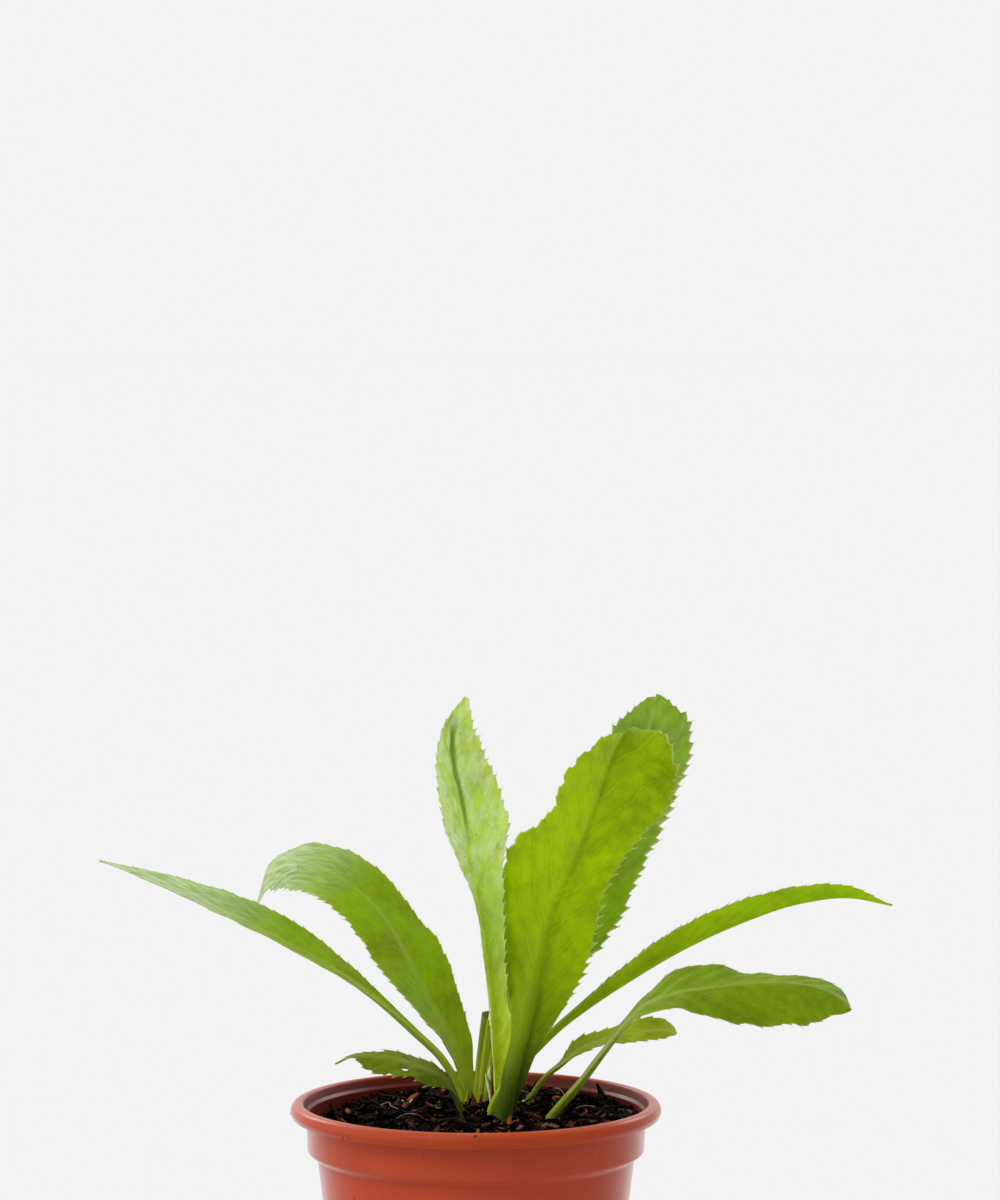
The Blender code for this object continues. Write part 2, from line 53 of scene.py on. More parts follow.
# %% [markdown]
# ## Camera
#
# The picture looks almost level at the plant, from a little above the rim. The rim is an ellipse
# 371 pixels wide and 65 high, so the eye is 10 degrees above it, and the pot sits low in the
# frame. A long lens from 1.6 metres away, tipped down by a few degrees, gives both.

# %% Camera
EYE = (8.41, -1575.2, 395.6)
TIP_DOWN = 3.8
FOCAL_PIXELS = 4538.0
FRAME_HEIGHT = 1200
FILM = 36.0

camera = bpy.data.objects.new("camera", bpy.data.cameras.new("camera"))
bpy.context.scene.collection.objects.link(camera)
bpy.context.scene.camera = camera
camera.data.sensor_width = FILM
camera.data.lens = FOCAL_PIXELS / FRAME_HEIGHT * FILM
camera.data.clip_start = 0.05
camera.data.clip_end = 80
camera.location = [value * MM for value in EYE]
camera.rotation_euler = (math.radians(90 - TIP_DOWN), 0, 0)
print("lens", round(camera.data.lens, 1), "mm")

# %% [markdown]
# ## Shader sums
#
# A pattern is easier to read as a sum than as a web of nodes. This small class wraps a socket,
# so that `1 - mask * 0.5` adds the Math nodes by itself. Any other node comes from its one
# method `node`, and short methods name the nodes that come back most often. The sky and all the
# finishes are written with it.

# %% Shader helper
class Wire:
    """A shader socket that takes part in arithmetic."""

    def __init__(self, tree, socket=None):
        self.tree = tree
        self.socket = socket

    def node(self, kind, settings=None, values=None, output=0):
        """Add a node, set its settings, fill or link its sockets and give one output."""
        made = self.tree.nodes.new("ShaderNode" + kind)
        for key, value in (settings or {}).items():
            if key == "stops":
                ramp = made.color_ramp
                while len(ramp.elements) < len(value):
                    ramp.elements.new(0.5)
                for element, (position, colour) in zip(ramp.elements, value):
                    element.position = position
                    element.color = (*colour, 1.0)
            else:
                setattr(made, key, value)
        for key, value in (values or {}).items():
            if isinstance(value, Wire):
                self.tree.links.new(value.socket, made.inputs[key])
            else:
                made.inputs[key].default_value = value
        return Wire(self.tree, made.outputs[output])

    def maths(self, operation, first, second=0.0):
        """One Math node."""
        return self.node("Math", {"operation": operation}, {0: first, 1: second})

    def __add__(self, other):
        return self.maths("ADD", self, other)

    def __radd__(self, other):
        return self.maths("ADD", other, self)

    def __sub__(self, other):
        return self.maths("SUBTRACT", self, other)

    def __rsub__(self, other):
        return self.maths("SUBTRACT", other, self)

    def __mul__(self, other):
        return self.maths("MULTIPLY", self, other)

    def __rmul__(self, other):
        return self.maths("MULTIPLY", other, self)

    def __truediv__(self, other):
        return self.maths("DIVIDE", self, other)

    def __abs__(self):
        return self.maths("ABSOLUTE", self)

    def step(self, low, high, start=0.0, end=1.0):
        """A soft step: start below low, end above high."""
        return self.node("MapRange", {"interpolation_type": "SMOOTHSTEP"},
                         {"Value": self, "From Min": low, "From Max": high,
                          "To Min": start, "To Max": end})

    def fraction(self):
        """The part after the decimal point."""
        return self.maths("FRACT", self)

    def parts(self):
        """The three parts of a vector."""
        return [self.node("SeparateXYZ", {}, {0: self}, i) for i in range(3)]

    def ramp(self, *stops):
        """A colour picked by this value from (position, colour) stops."""
        return self.node("ValToRGB", {"stops": stops}, {0: self})

    def tint(self, factor, colour):
        """This colour mixed towards another by a factor."""
        colour = colour if isinstance(colour, Wire) else (*colour, 1.0)
        return self.node("Mix", {"data_type": "RGBA"}, {0: factor, 6: self, 7: colour}, 2)

    def scaled(self, factor):
        """This colour with all three parts times a factor."""
        return self.node("VectorMath", {"operation": "SCALE"}, {0: self, "Scale": factor})

    def own_place(self):
        """The object's own coordinates, in metres."""
        return self.node("TexCoord", output=3)

    def stored(self, name):
        """A vector that is stored on the points of the mesh."""
        return self.node("Attribute", {"attribute_name": name}, {}, 1)

    def stretched(self, scale):
        """The object's own coordinates with each part times its scale."""
        return self.node("Mapping", {}, {"Vector": self.own_place(), "Scale": scale})

    def noise(self, scale, detail=3.0, where=None, roughness=0.55):
        """Cloudy noise from 0 to 1 at a place, by default the object's own coordinates."""
        return self.node("TexNoise", {}, {"Vector": where or self.own_place(), "Scale": scale,
                                          "Detail": detail, "Roughness": roughness})

    def specks(self, scale, size, share):
        """Scattered round dots: 1 inside a dot, for a share of the cells of a given scale."""
        cells = {"Vector": self.own_place(), "Scale": scale}
        distance = self.node("TexVoronoi", {}, cells)
        colour = self.node("TexVoronoi", {}, cells, 1)
        draw = self.node("SeparateColor", {}, {0: colour})
        return distance.step(size, size * 0.6) * draw.step(share, share - 0.02)


def new_paint(name):
    """A material with a bare Principled shader, and a wire to start from."""
    material = bpy.data.materials.new(name)
    material.use_nodes = True
    tree = material.node_tree
    return material, Wire(tree), tree.nodes["Principled BSDF"]


def feed(node, socket, wire):
    """Link a wire to a socket of a shader or another node."""
    wire.tree.links.new(wire.socket, node.inputs[socket])


def dress(shader, colour, roughness, bump=None, **fixed):
    """Feed a shader's colour, roughness and (strength, distance, height) bump, and set fixed values.

    A fixed value is named by its socket, with _ for each space.
    """
    feed(shader, "Base Color", colour)
    feed(shader, "Roughness", roughness)
    if bump:
        feed(shader, "Normal", colour.node("Bump", {}, dict(zip(("Strength", "Distance", "Height"), bump))))
    for socket, value in fixed.items():
        shader.inputs[socket.replace("_", " ")].default_value = value


# %% [markdown]
# ## Studio
#
# A plant photographed on white stands in front of a bright, wide backdrop, and the side of the
# room that the camera is on stays dim. That is why the faces turned to the camera keep deep
# colours, while the edges and the tops of the leaves shine. The sky does this job here: what
# lights the plant is brighter behind, overhead and at the left than in front, and the camera
# sees one even pale tone. Four wide suns shape the forms: a key from the front left, a low one
# from the left, and one from behind on each side, which makes the leaves glow.

# %% Sky
# Tone of the sky, its share in front, and where it brightens: low and high ends of soft steps
SKY_TONE = 0.896
SKY_DIM = 0.30
SKY_BACK = (-0.75, 0.25)
SKY_TOP = (0.30, 0.85)
SKY_LEFT = (0.45, 0.95)

world = bpy.data.worlds.new("sky")
world.use_nodes = True
sky = Wire(world.node_tree)
rightward, away, upward = sky.node("TexCoord").parts()
lit = away.step(*SKY_BACK)
for other in (upward.step(*SKY_TOP), (rightward * -1).step(*SKY_LEFT)):
    lit = sky.maths("MAXIMUM", lit, other)
seen_by_camera = sky.node("LightPath")
background = world.node_tree.nodes["Background"]
background.inputs["Color"].default_value = (SKY_TONE, SKY_TONE, SKY_TONE, 1)
feed(background, "Strength", sky.maths("MAXIMUM", SKY_DIM + (1 - SKY_DIM) * lit, seen_by_camera))
bpy.context.scene.world = world
bpy.context.scene.view_settings.view_transform = "Standard"
print("sky tone", SKY_TONE, "in front", SKY_TONE * SKY_DIM)

# %% [markdown]
# The floor must come out as pale as the sky, or a horizon shows. A matt floor's tone is its
# colour times the light that falls on it, divided by pi. So the light is summed over the sky
# with the same three soft steps, the suns are added, and the floor's colour follows.

# %% Suns and floor
# Each sun: bearing and height of the light in degrees, strength and spread in degrees
SUNS = {
    "sun_front": (-38, 50, 0.9, 30),
    "sun_back_left": (-142, 34, 1.0, 25),
    "sun_back_right": (140, 36, 0.9, 25),
    "sun_left": (-82, 22, 0.7, 50),
}
FLOOR_RADIUS = 30.0


def soft_step(value, low, high):
    """The same soft step in numbers: 3 t squared - 2 t cubed."""
    t = np.clip((value - low) / (high - low), 0, 1)
    return 3 * t**2 - 2 * t**3


def sky_on_floor(count=400):
    """Light of the sky on a level floor: the sum of tone * cosine over the upper half."""
    height = (np.arange(count) + 0.5) / count
    turn = 2 * np.pi * (np.arange(count) + 0.5) / count
    reach = np.sqrt(1 - height[:, None] ** 2)
    share = np.maximum(soft_step(reach * np.cos(turn), *SKY_BACK), soft_step(height[:, None], *SKY_TOP))
    share = np.maximum(share, soft_step(reach * np.sin(turn), *SKY_LEFT))
    tone = SKY_TONE * (SKY_DIM + (1 - SKY_DIM) * share)
    return 2 * np.pi * (tone * height[:, None]).mean()


on_floor = sky_on_floor()
for name, (bearing, height, strength, spread) in SUNS.items():
    sun = bpy.data.lights.new(name, "SUN")
    sun.energy = strength
    sun.angle = math.radians(spread)
    lamp = bpy.data.objects.new(name, sun)
    lamp.rotation_euler = (math.radians(90 - height), 0, math.radians(bearing))
    bpy.context.scene.collection.objects.link(lamp)
    on_floor += strength * math.sin(math.radians(height))

floor_tone = SKY_TONE * math.pi / on_floor
bpy.ops.mesh.primitive_circle_add(vertices=96, radius=FLOOR_RADIUS, fill_type="NGON")
floor = bpy.context.object
floor.name = "floor"
floor_paint, _, floor_shader = new_paint("pale_floor")
floor_shader.inputs["Base Color"].default_value = (floor_tone, floor_tone, floor_tone, 1)
floor_shader.inputs["Roughness"].default_value = 1.0
floor_shader.inputs["Specular IOR Level"].default_value = 0.0
floor.data.materials.append(floor_paint)
print("floor tone", round(floor_tone, 3))

# %% [markdown]
# ## From arrays to meshes
#
# Every new surface is a grid of points. The first helper numbers the corners of the grid's
# quads. The second puts points and faces into a mesh in one go, leaves out points that no face
# uses, and stores extra values on the points for the materials to read. The third gives a piece
# its finish and its place in the model.

# %% Mesh helpers
def grid_quads(rows, columns, wrap=False):
    """Corner numbers of the quads of a grid: (r, c), (r, c+1), (r+1, c+1), (r+1, c)."""
    index = np.arange(rows * columns).reshape(rows, columns)
    if wrap:
        index = np.hstack([index, index[:, :1]])
    corners = [index[:-1, :-1], index[:-1, 1:], index[1:, 1:], index[1:, :-1]]
    return np.stack(corners, axis=-1).reshape(-1, 4)


def make_piece(name, points, quads, triangles=(), values=None):
    """A smooth mesh object at the origin from points in mm, faces and values on the points."""
    quads = np.asarray(quads, dtype=int).reshape(-1, 4)
    triangles = np.asarray(triangles, dtype=int).reshape(-1, 3)
    used, corners = np.unique(np.concatenate([quads.ravel(), triangles.ravel()]), return_inverse=True)
    sizes = np.concatenate([np.full(len(quads), 4), np.full(len(triangles), 3)])
    mesh = bpy.data.meshes.new(name)
    mesh.vertices.add(len(used))
    mesh.vertices.foreach_set("co", (points[used] * MM).astype(np.float32).ravel())
    mesh.loops.add(len(corners))
    mesh.loops.foreach_set("vertex_index", corners.astype(np.int32))
    mesh.polygons.add(len(sizes))
    mesh.polygons.foreach_set("loop_start", np.concatenate([[0], np.cumsum(sizes)[:-1]]).astype(np.int32))
    mesh.update(calc_edges=True)
    mesh.validate()
    mesh.shade_smooth()
    for key, value in (values or {}).items():
        layer = mesh.attributes.new(key, "FLOAT_VECTOR", "POINT")
        layer.data.foreach_set("vector", value[used].astype(np.float32).ravel())
    piece = bpy.data.objects.new(name, mesh)
    bpy.context.scene.collection.objects.link(piece)
    print(name, len(mesh.vertices), "points", len(mesh.polygons), "faces")
    return piece


def place(piece, material, slot, *nodes):
    """Give a piece its finish and let it ride on the part. Its record slot is not used."""
    piece.data.materials.clear()
    piece.data.materials.append(material)
    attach(piece, "root")
    if nodes:
        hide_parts(*nodes)


# %% [markdown]
# Many things here are tubes: rings of points, one after the other, closed at both ends. A pot or
# a pebble is a profile turned round an axis, and its rings are circles. Small things that lie
# about in numbers are copies of one such shape, all worked out together.

# %% Tubes and copies
def close_ends(rings, ends):
    """A tube's rings of points with an end point for each, and a fan of triangles round it."""
    sides = rings.shape[1]
    points = np.concatenate([rings.reshape(-1, 3), ends])
    first, second = len(points) - 2, len(points) - 1
    here = np.arange(sides)
    after = (here + 1) % sides
    last = first - sides
    start = np.stack([0 * here + first, after, here], axis=-1)
    finish = np.stack([0 * here + second, last + here, last + after], axis=-1)
    return points, np.concatenate([start, finish])


def revolve(profile, steps):
    """Turn (radius, height) points round Z: (r cos a, r sin a, h) for each angle a.

    The first and the last point lie on the axis, and each closes with a fan of triangles.
    The profile runs down the outer side, so that the faces point out.
    """
    turn = np.linspace(0, 2 * np.pi, steps, endpoint=False)
    ring = profile[1:-1]
    x = ring[:, :1] * np.cos(turn)
    y = ring[:, :1] * np.sin(turn)
    z = ring[:, 1:] + 0 * turn
    ends = [[0, 0, profile[0, 1]], [0, 0, profile[-1, 1]]]
    points, fans = close_ends(np.stack([x, y, z], axis=-1), ends)
    return points, grid_quads(len(ring), steps, wrap=True)[:, ::-1], fans


def scatter(shape, centres, turns, sizes):
    """Copies of one closed shape, each scaled, turned about Z and moved: one array sum."""
    points, quads, fans = shape
    cosine, sine = np.cos(turns)[:, None], np.sin(turns)[:, None]
    local = points[None] * sizes[:, None]
    x = local[..., 0] * cosine - local[..., 1] * sine
    y = local[..., 0] * sine + local[..., 1] * cosine
    moved = np.stack([x, y, local[..., 2]], axis=-1) + centres[:, None]
    shift = np.arange(len(centres))[:, None, None] * len(points)
    return moved.reshape(-1, 3), (quads + shift).reshape(-1, 4), (fans + shift).reshape(-1, 3)


# %% [markdown]
# ## Pot
#
# The pot is moulded plastic, 130 mm across the rim. Its section is one outline, so it is a
# profile turned round the axis. Each corner of the outline is rounded by an arc that touches
# both of its sides, because sharp corners catch no light.

# %% Pot outline
POT_HEIGHT = 115.0
RIM_RADIUS = 65.0
RIM_DEPTH = 5.1
MOUTH_RADIUS = 60.9
COLLAR_RADIUS = 59.4
COLLAR_DEPTH = 16.5
SHOULDER_RADIUS = 55.5
SHOULDER_DEPTH = 19.4
BASE_RADIUS = 43.7
WALL = 1.1
FLOOR_THICKNESS = 2.0
DRAIN_HOLES = 6
DRAIN_RADIUS = 4.0
DRAIN_RING = 28.0
DRAIN_STEPS = 32
POT_STEPS = 256
SHARP_ANGLE = 50


def rounded(corners, steps=7):
    """An outline of (radius, height, rounding) corners with each corner cut by an arc.

    The arc of radius q leaves a side at q * tan(half the turn) before the corner.
    """
    outline = [corners[0][:2]]
    for before, (x, y, q), after in zip(corners, corners[1:-1], corners[2:]):
        corner = np.array([x, y])
        back = np.array(before[:2]) - corner
        ahead = np.array(after[:2]) - corner
        back /= np.linalg.norm(back)
        ahead /= np.linalg.norm(ahead)
        half = math.acos(np.clip(back @ ahead, -1, 1)) / 2
        middle = (back + ahead) / np.linalg.norm(back + ahead)
        centre = corner + middle * q / math.sin(half)
        spread = np.linspace(-1, 1, steps) * (math.pi / 2 - half)
        across = np.array([-middle[1], middle[0]])
        across *= np.sign(across @ ahead)
        outline += list(centre + q * (np.outer(np.sin(spread), across) - np.outer(np.cos(spread), middle)))
    return np.array(outline + [corners[-1][:2]])


def pot_outline():
    """The pot's section: over the inside, the mouth and the rim, and down the outside."""
    top = POT_HEIGHT
    inner_base = BASE_RADIUS - WALL - 0.3
    return rounded([
        (0.0, FLOOR_THICKNESS, 0),
        (inner_base, FLOOR_THICKNESS, 1.2),
        (SHOULDER_RADIUS - WALL, top - SHOULDER_DEPTH + 0.4, 0.9),
        (COLLAR_RADIUS - WALL - 0.2, top - COLLAR_DEPTH + 0.8, 1.2),
        (COLLAR_RADIUS - 0.9, top - 4.0, 0.5),
        (COLLAR_RADIUS + 0.2, top - 3.0, 0.5),
        (MOUTH_RADIUS - 0.2, top + 0.1, 1.1),
        (RIM_RADIUS - 0.9, top - 0.2, 2.4),
        (RIM_RADIUS + 0.1, top - 3.2, 1.8),
        (RIM_RADIUS - 0.8, top - RIM_DEPTH, 0.25),
        (COLLAR_RADIUS, top - RIM_DEPTH, 0.4),
        (COLLAR_RADIUS - 0.4, top - COLLAR_DEPTH - 0.5, 1.7),
        (SHOULDER_RADIUS + 0.1, top - SHOULDER_DEPTH, 0.5),
        (BASE_RADIUS + 0.1, 0.0, 1.4),
        (0.0, 0.0, 0),
    ])


def cut_away(piece, cutter):
    """Cut a closed shape out of a piece for good, and remove it."""
    piece.modifiers.new("cut", "BOOLEAN").object = cutter
    graph = bpy.context.evaluated_depsgraph_get()
    mesh = bpy.data.meshes.new_from_object(piece.evaluated_get(graph))
    piece.modifiers.clear()
    piece.data = mesh
    bpy.data.objects.remove(cutter)


pot = make_piece("pot_moulded", *revolve(pot_outline(), POT_STEPS))
rod = np.array([(0, 3 * FLOOR_THICKNESS), (DRAIN_RADIUS, 3 * FLOOR_THICKNESS),
                (DRAIN_RADIUS, -FLOOR_THICKNESS), (0, -FLOOR_THICKNESS)])
turns = 2 * np.pi * (np.arange(DRAIN_HOLES) + 0.5) / DRAIN_HOLES
centres = DRAIN_RING * np.stack([np.cos(turns), np.sin(turns), 0 * turns], axis=-1)
drills = scatter(revolve(rod, DRAIN_STEPS), centres, 0 * turns, np.ones((DRAIN_HOLES, 3)))
cut_away(pot, make_piece("drills", *drills))
pot.data.shade_smooth()
pot.data.set_sharp_from_angle(angle=math.radians(SHARP_ANGLE))

# %% [markdown]
# The rim's lower edge keeps a few scraps of flash, the thin plastic that leaks between two
# halves of a mould. Each is a small dented pebble, sunk halfway into the rim.

# %% Flash on the rim
# Bearing round the pot in degrees, radius, height, and half sizes round, out and up, in mm
FLASH = [
    (-132.6, 64.5, 110.7, 1.4, 0.7, 0.45),
    (-134.6, 64.6, 110.3, 0.8, 0.5, 0.3),
    (-175.1, 64.7, 111.6, 0.5, 0.5, 0.4),
    (-81.6, 64.1, 110.2, 1.6, 0.4, 0.25),
    (-104.0, 64.1, 110.1, 0.9, 0.3, 0.2),
]


def pebble(steps=8):
    """A ball of radius 1 as a turned half circle, with a few soft dents."""
    fall = np.linspace(0, np.pi, steps)
    points, quads, fans = revolve(np.stack([np.sin(fall), np.cos(fall)], axis=-1), 2 * steps)
    dent = 1 + 0.12 * np.sin(3 * points[:, :1] + 1) * np.cos(4 * points[:, 1:2])
    return points * dent, quads, fans


flash = np.array(FLASH)
bearing = np.radians(flash[:, 0])
spots = np.stack([flash[:, 1] * np.cos(bearing), flash[:, 1] * np.sin(bearing), flash[:, 2]], axis=-1)
flash_scraps = make_piece("rim_flash", *scatter(pebble(), spots, bearing + np.pi / 2, flash[:, 3:]))

# %% [markdown]
# ## Pot finish
#
# The plastic is a satin terracotta red. Its colour drifts a little. The rim is painted warmer and
# deeper, a painted glow of light through its thin plastic, and the inside has painted shade.
# Potting has left fine scratches, dark crumbs and a smear of dried soil. All of it is worked out
# from the object's own coordinates. The inside is where the surface faces the axis: where its
# normal and the way out from the axis point against each other. A thin coat makes the
# turned-away sides paler.

# %% Pot paint
PLASTIC_REDS = (0.3, (0.40, 0.050, 0.018)), (0.7, (0.46, 0.060, 0.022))
RIM_GLOW_RED = (0.37, 0.044, 0.006)
PAINTED_INSIDE_SHADE = (0.11, 0.010, 0.005)
SCRATCH_PINK = (0.60, 0.20, 0.13)
SMEAR_BROWN = (0.12, 0.045, 0.03)
CRUMB_BROWN = (0.035, 0.018, 0.012)


def plastic_paint():
    """Satin red plastic with drift, a painted glow on the rim, painted shade inside, scratches, crumbs and a
    smear.
    """
    material, wire, shader = new_paint("terracotta_plastic")
    x, y, height = wire.own_place().parts()
    normal = wire.node("TexCoord", output=1)
    from_axis = wire.node("CombineXYZ", {}, {0: x, 1: y})
    outward = wire.node("VectorMath", {"operation": "DOT_PRODUCT"}, {0: normal, 1: from_axis}, 1)
    inside = outward.step(-0.005, -0.025) * height.step(0.1152, 0.1135)
    drift = wire.noise(22, 4)
    fine = wire.noise(900, 2)
    colour = drift.ramp(*PLASTIC_REDS)
    # Painted glow: the rim is tinted warmer and deeper, as light through its thin plastic makes it look.
    colour = colour.tint(height.step(0.1092, 0.1110) * 0.8, RIM_GLOW_RED)
    # Painted shade: the inside wall is tinted dark.
    colour = colour.tint(inside * 0.9, PAINTED_INSIDE_SHADE)
    scratches = wire.noise(420, 3, wire.stretched((1, 1, 0.06))).step(0.60, 0.78)
    colour = colour.tint(scratches * 0.10, SCRATCH_PINK)
    smear = wire.noise(75, 5, roughness=0.7).step(0.58, 0.74) * x.step(0.036, 0.052)
    colour = colour.tint(smear * fine.step(0.42, 0.6) * 0.45, SMEAR_BROWN)
    crumbs = wire.specks(170, 0.15, 0.035)
    colour = colour.tint(crumbs * 0.85, CRUMB_BROWN)
    relief = wire.noise(60, 3) + fine * 0.08 + crumbs * 0.8
    dress(shader, colour, 0.30 + drift * 0.12 + smear * 0.3 + crumbs * 0.4, (0.25, 0.0004, relief),
          Coat_Roughness=0.22, IOR=1.45, Specular_IOR_Level=0.16, Sheen_Weight=0.05,
          Sheen_Roughness=0.25)
    turned_away = wire.node("LayerWeight", {}, {"Blend": 0.5}, 1).step(0.32, 0.90)
    sides = height.step(0.1140, 0.1110) * 0.5 + abs(x).step(0.030, 0.058) * 0.5
    feed(shader, "Coat Weight", turned_away * sides * (1 - inside))
    return material


plastic = plastic_paint()
place(pot, plastic, "pot", "pot")
place(flash_scraps, plastic, "pot")
print("pot finished")

# %% [markdown]
# ## Soil
#
# The soil is loose bark, heaped against the plant and sunk at the pot's left edge. Its body is
# one closed, turned surface. The top rings of points rise and fall by the same rule as the
# solid model's soil, with finer lumps added.

# %% Soil body
# A swell of the soil: its rise, the x and y of its middle, and its spread, in mm
SOIL_MOUND = (2.3, 0.0, 22.0, 14.1)
SOIL_DIP = (-8.0, -60.0, -2.0, 21.0)
SOIL_LEVEL = 109.2
SOIL_GAP = 0.25
SOIL_STEPS = 220
SOIL_RINGS = 90
SOIL_LUMPS = 26
LUMP_HEIGHT = 0.13

draw = np.random.default_rng(SEED)
lump_way = draw.uniform(0, 2 * np.pi, SOIL_LUMPS)
lump_rate = draw.uniform(0.8, 2.6, SOIL_LUMPS)
lump_start = draw.uniform(0, 2 * np.pi, SOIL_LUMPS)


def swell(x, y, rise, middle_x, middle_y, spread):
    """A bell-shaped swell: rise * exp(-distance squared / (2 * spread squared))."""
    return rise * np.exp(-((x - middle_x) ** 2 + (y - middle_y) ** 2) / (2 * spread**2))


def soil_height(x, y):
    """Height of the soil: level, plus the mound, the dip and two low crossed waves."""
    wide = 0.5 * np.sin(0.31 * x + 1.3) * np.sin(0.27 * y)
    fine = 0.35 * np.sin(0.5 * x - 0.43 * y)
    return SOIL_LEVEL + swell(x, y, *SOIL_MOUND) + swell(x, y, *SOIL_DIP) + wide + fine


def soil_lumps(x, y):
    """Small lumps: a sum of short waves that run in random directions."""
    along = x[..., None] * np.cos(lump_way) + y[..., None] * np.sin(lump_way)
    return LUMP_HEIGHT * np.sin(along * lump_rate + lump_start).sum(axis=-1)


soil_edge = COLLAR_RADIUS - WALL - SOIL_GAP
reach = np.linspace(0, soil_edge, SOIL_RINGS + 1)
rings = np.stack([reach, 0 * reach + SOIL_LEVEL], axis=-1)
# Down the side the soil keeps just clear of the inside of the pot
walls = [(soil_edge - 0.2, POT_HEIGHT - COLLAR_DEPTH + 1.6),
         (SHOULDER_RADIUS - WALL - 0.4, POT_HEIGHT - SHOULDER_DEPTH + 0.4),
         (BASE_RADIUS - WALL - 1.0, FLOOR_THICKNESS + 2.2),
         (BASE_RADIUS - WALL - 2.2, FLOOR_THICKNESS + 0.4),
         (0.0, FLOOR_THICKNESS + 0.4)]
points, quads, fans = revolve(np.concatenate([rings, walls]), SOIL_STEPS)
surface = points[:, 2] > SOIL_LEVEL - 0.1
points[surface, 2] = soil_height(*points[surface, :2].T) + soil_lumps(*points[surface, :2].T)
soil_body = make_piece("soil_body", points, quads, fans)

# %% [markdown]
# ## Bark chips
#
# What the eye reads as soil is a litter of bark splinters. One splinter is a bar of five rings
# of four points. Hundreds of them get their own length, taper, bend, twist and tilt from a
# seeded draw, all in one array, and each carries three random values that its finish reads.

# %% Bark chips
CHIP_COUNT = 1120
CHIP_RINGS = 5
CHIP_CORNERS = np.array([0.25, 0.75, 1.25, 1.75]) * np.pi
CHIP_POINTS = CHIP_RINGS * len(CHIP_CORNERS)
CHIP_FIELD = 56.0
# Sizes in mm: the least, how much more at most, and a power. Above 1 it makes most of them small
CHIP_LENGTHS = (2.6, 10.5, 2.0)
CHIP_WIDTHS = (0.6, 2.4, 1.5)
CHIP_THICKNESSES = (0.35, 0.55, 1.0)
CHIP_LIFTS = (0.2, 1.6, 1.5)
CHIP_PITCH = 0.28
CHIP_ROLL = 0.7
STALK_ROOM = 3.2


def mostly_small(draw, count, least, more, power):
    """Random sizes: least + more * r ** power, for r drawn evenly from 0 to 1."""
    return least + more * draw.random(count) ** power


def chip_shapes(count, length, width, thickness, draw):
    """Splinters along X, one a row: rings of four points, tapered, bent and twisted."""
    along = np.linspace(-1, 1, CHIP_RINGS)
    uneven = draw.uniform(-0.08, 0.08, (count, CHIP_RINGS))
    reach = (along / 2 + uneven) * length[:, None]
    ends = draw.uniform(0.15, 0.9, (count, 2))
    taper = 1 - np.where(along < 0, 1 - ends[:, :1], 1 - ends[:, 1:]) * along**2
    taper = taper * draw.uniform(0.8, 1.15, (count, CHIP_RINGS))
    angle = CHIP_CORNERS + draw.uniform(-0.35, 0.35, (count, CHIP_RINGS, len(CHIP_CORNERS)))
    angle = angle + draw.uniform(-0.5, 0.5, (count, 1, 1)) * along[None, :, None]
    y = np.cos(angle) * (width[:, None] * taper)[..., None] * 0.7
    z = np.sin(angle) * (thickness[:, None] * taper)[..., None] * 0.7
    bend = draw.normal(0, 0.10, (count, 2, 1)) * length[:, None, None] * along**2
    y = y + bend[:, :1].transpose(0, 2, 1)
    z = z + bend[:, 1:].transpose(0, 2, 1)
    return np.stack([reach[..., None] + 0 * y, y, z], axis=-1).reshape(count, CHIP_POINTS, 3)


def turn_matrices(yaw, pitch, roll):
    """Rotation matrices for arrays of angles: about X by roll, Y by pitch, then Z by yaw."""
    zero, one = 0 * yaw, 0 * yaw + 1
    about_x = np.array([[one, zero, zero], [zero, np.cos(roll), -np.sin(roll)],
                        [zero, np.sin(roll), np.cos(roll)]])
    about_y = np.array([[np.cos(pitch), zero, np.sin(pitch)], [zero, one, zero],
                        [-np.sin(pitch), zero, np.cos(pitch)]])
    about_z = np.array([[np.cos(yaw), -np.sin(yaw), zero], [np.sin(yaw), np.cos(yaw), zero],
                        [zero, zero, one]])
    return np.einsum("ijn,jkn,kln->nil", about_z, about_y, about_x)


def chip_faces(count):
    """Faces of many closed splinters: quads round the sides and one quad for each end."""
    sides = len(CHIP_CORNERS)
    last = CHIP_POINTS - sides
    caps = np.array([[3, 2, 1, 0], [last, last + 1, last + 2, last + 3]])
    one = np.concatenate([grid_quads(CHIP_RINGS, sides, wrap=True)[:, ::-1], caps])
    return (one + np.arange(count)[:, None, None] * CHIP_POINTS).reshape(-1, 4)


# %% [markdown]
# The chips are strewn evenly over the soil: the square root makes up for the wider rings further
# out. None lies on a stalk's foot, and a chip that would reach into the pot's wall moves inward.

# %% Chips on the soil
def stalk_clearance(x, y, feet):
    """Distance from each place to the nearest stalk foot."""
    return np.hypot(x[:, None] - feet[:, 0], y[:, None] - feet[:, 1]).min(axis=1)


# Where the stalks leave the soil: x, y
STALK_FEET = np.array([(-5, 16.5), (-3, 25), (8.7, 8.5), (10.8, -8.2), (10.8, -9.5), (4.5, 27.5),
                       (4.5, 0.5), (24, -6), (16, 14.2), (-3, -9.2), (0, 20)])

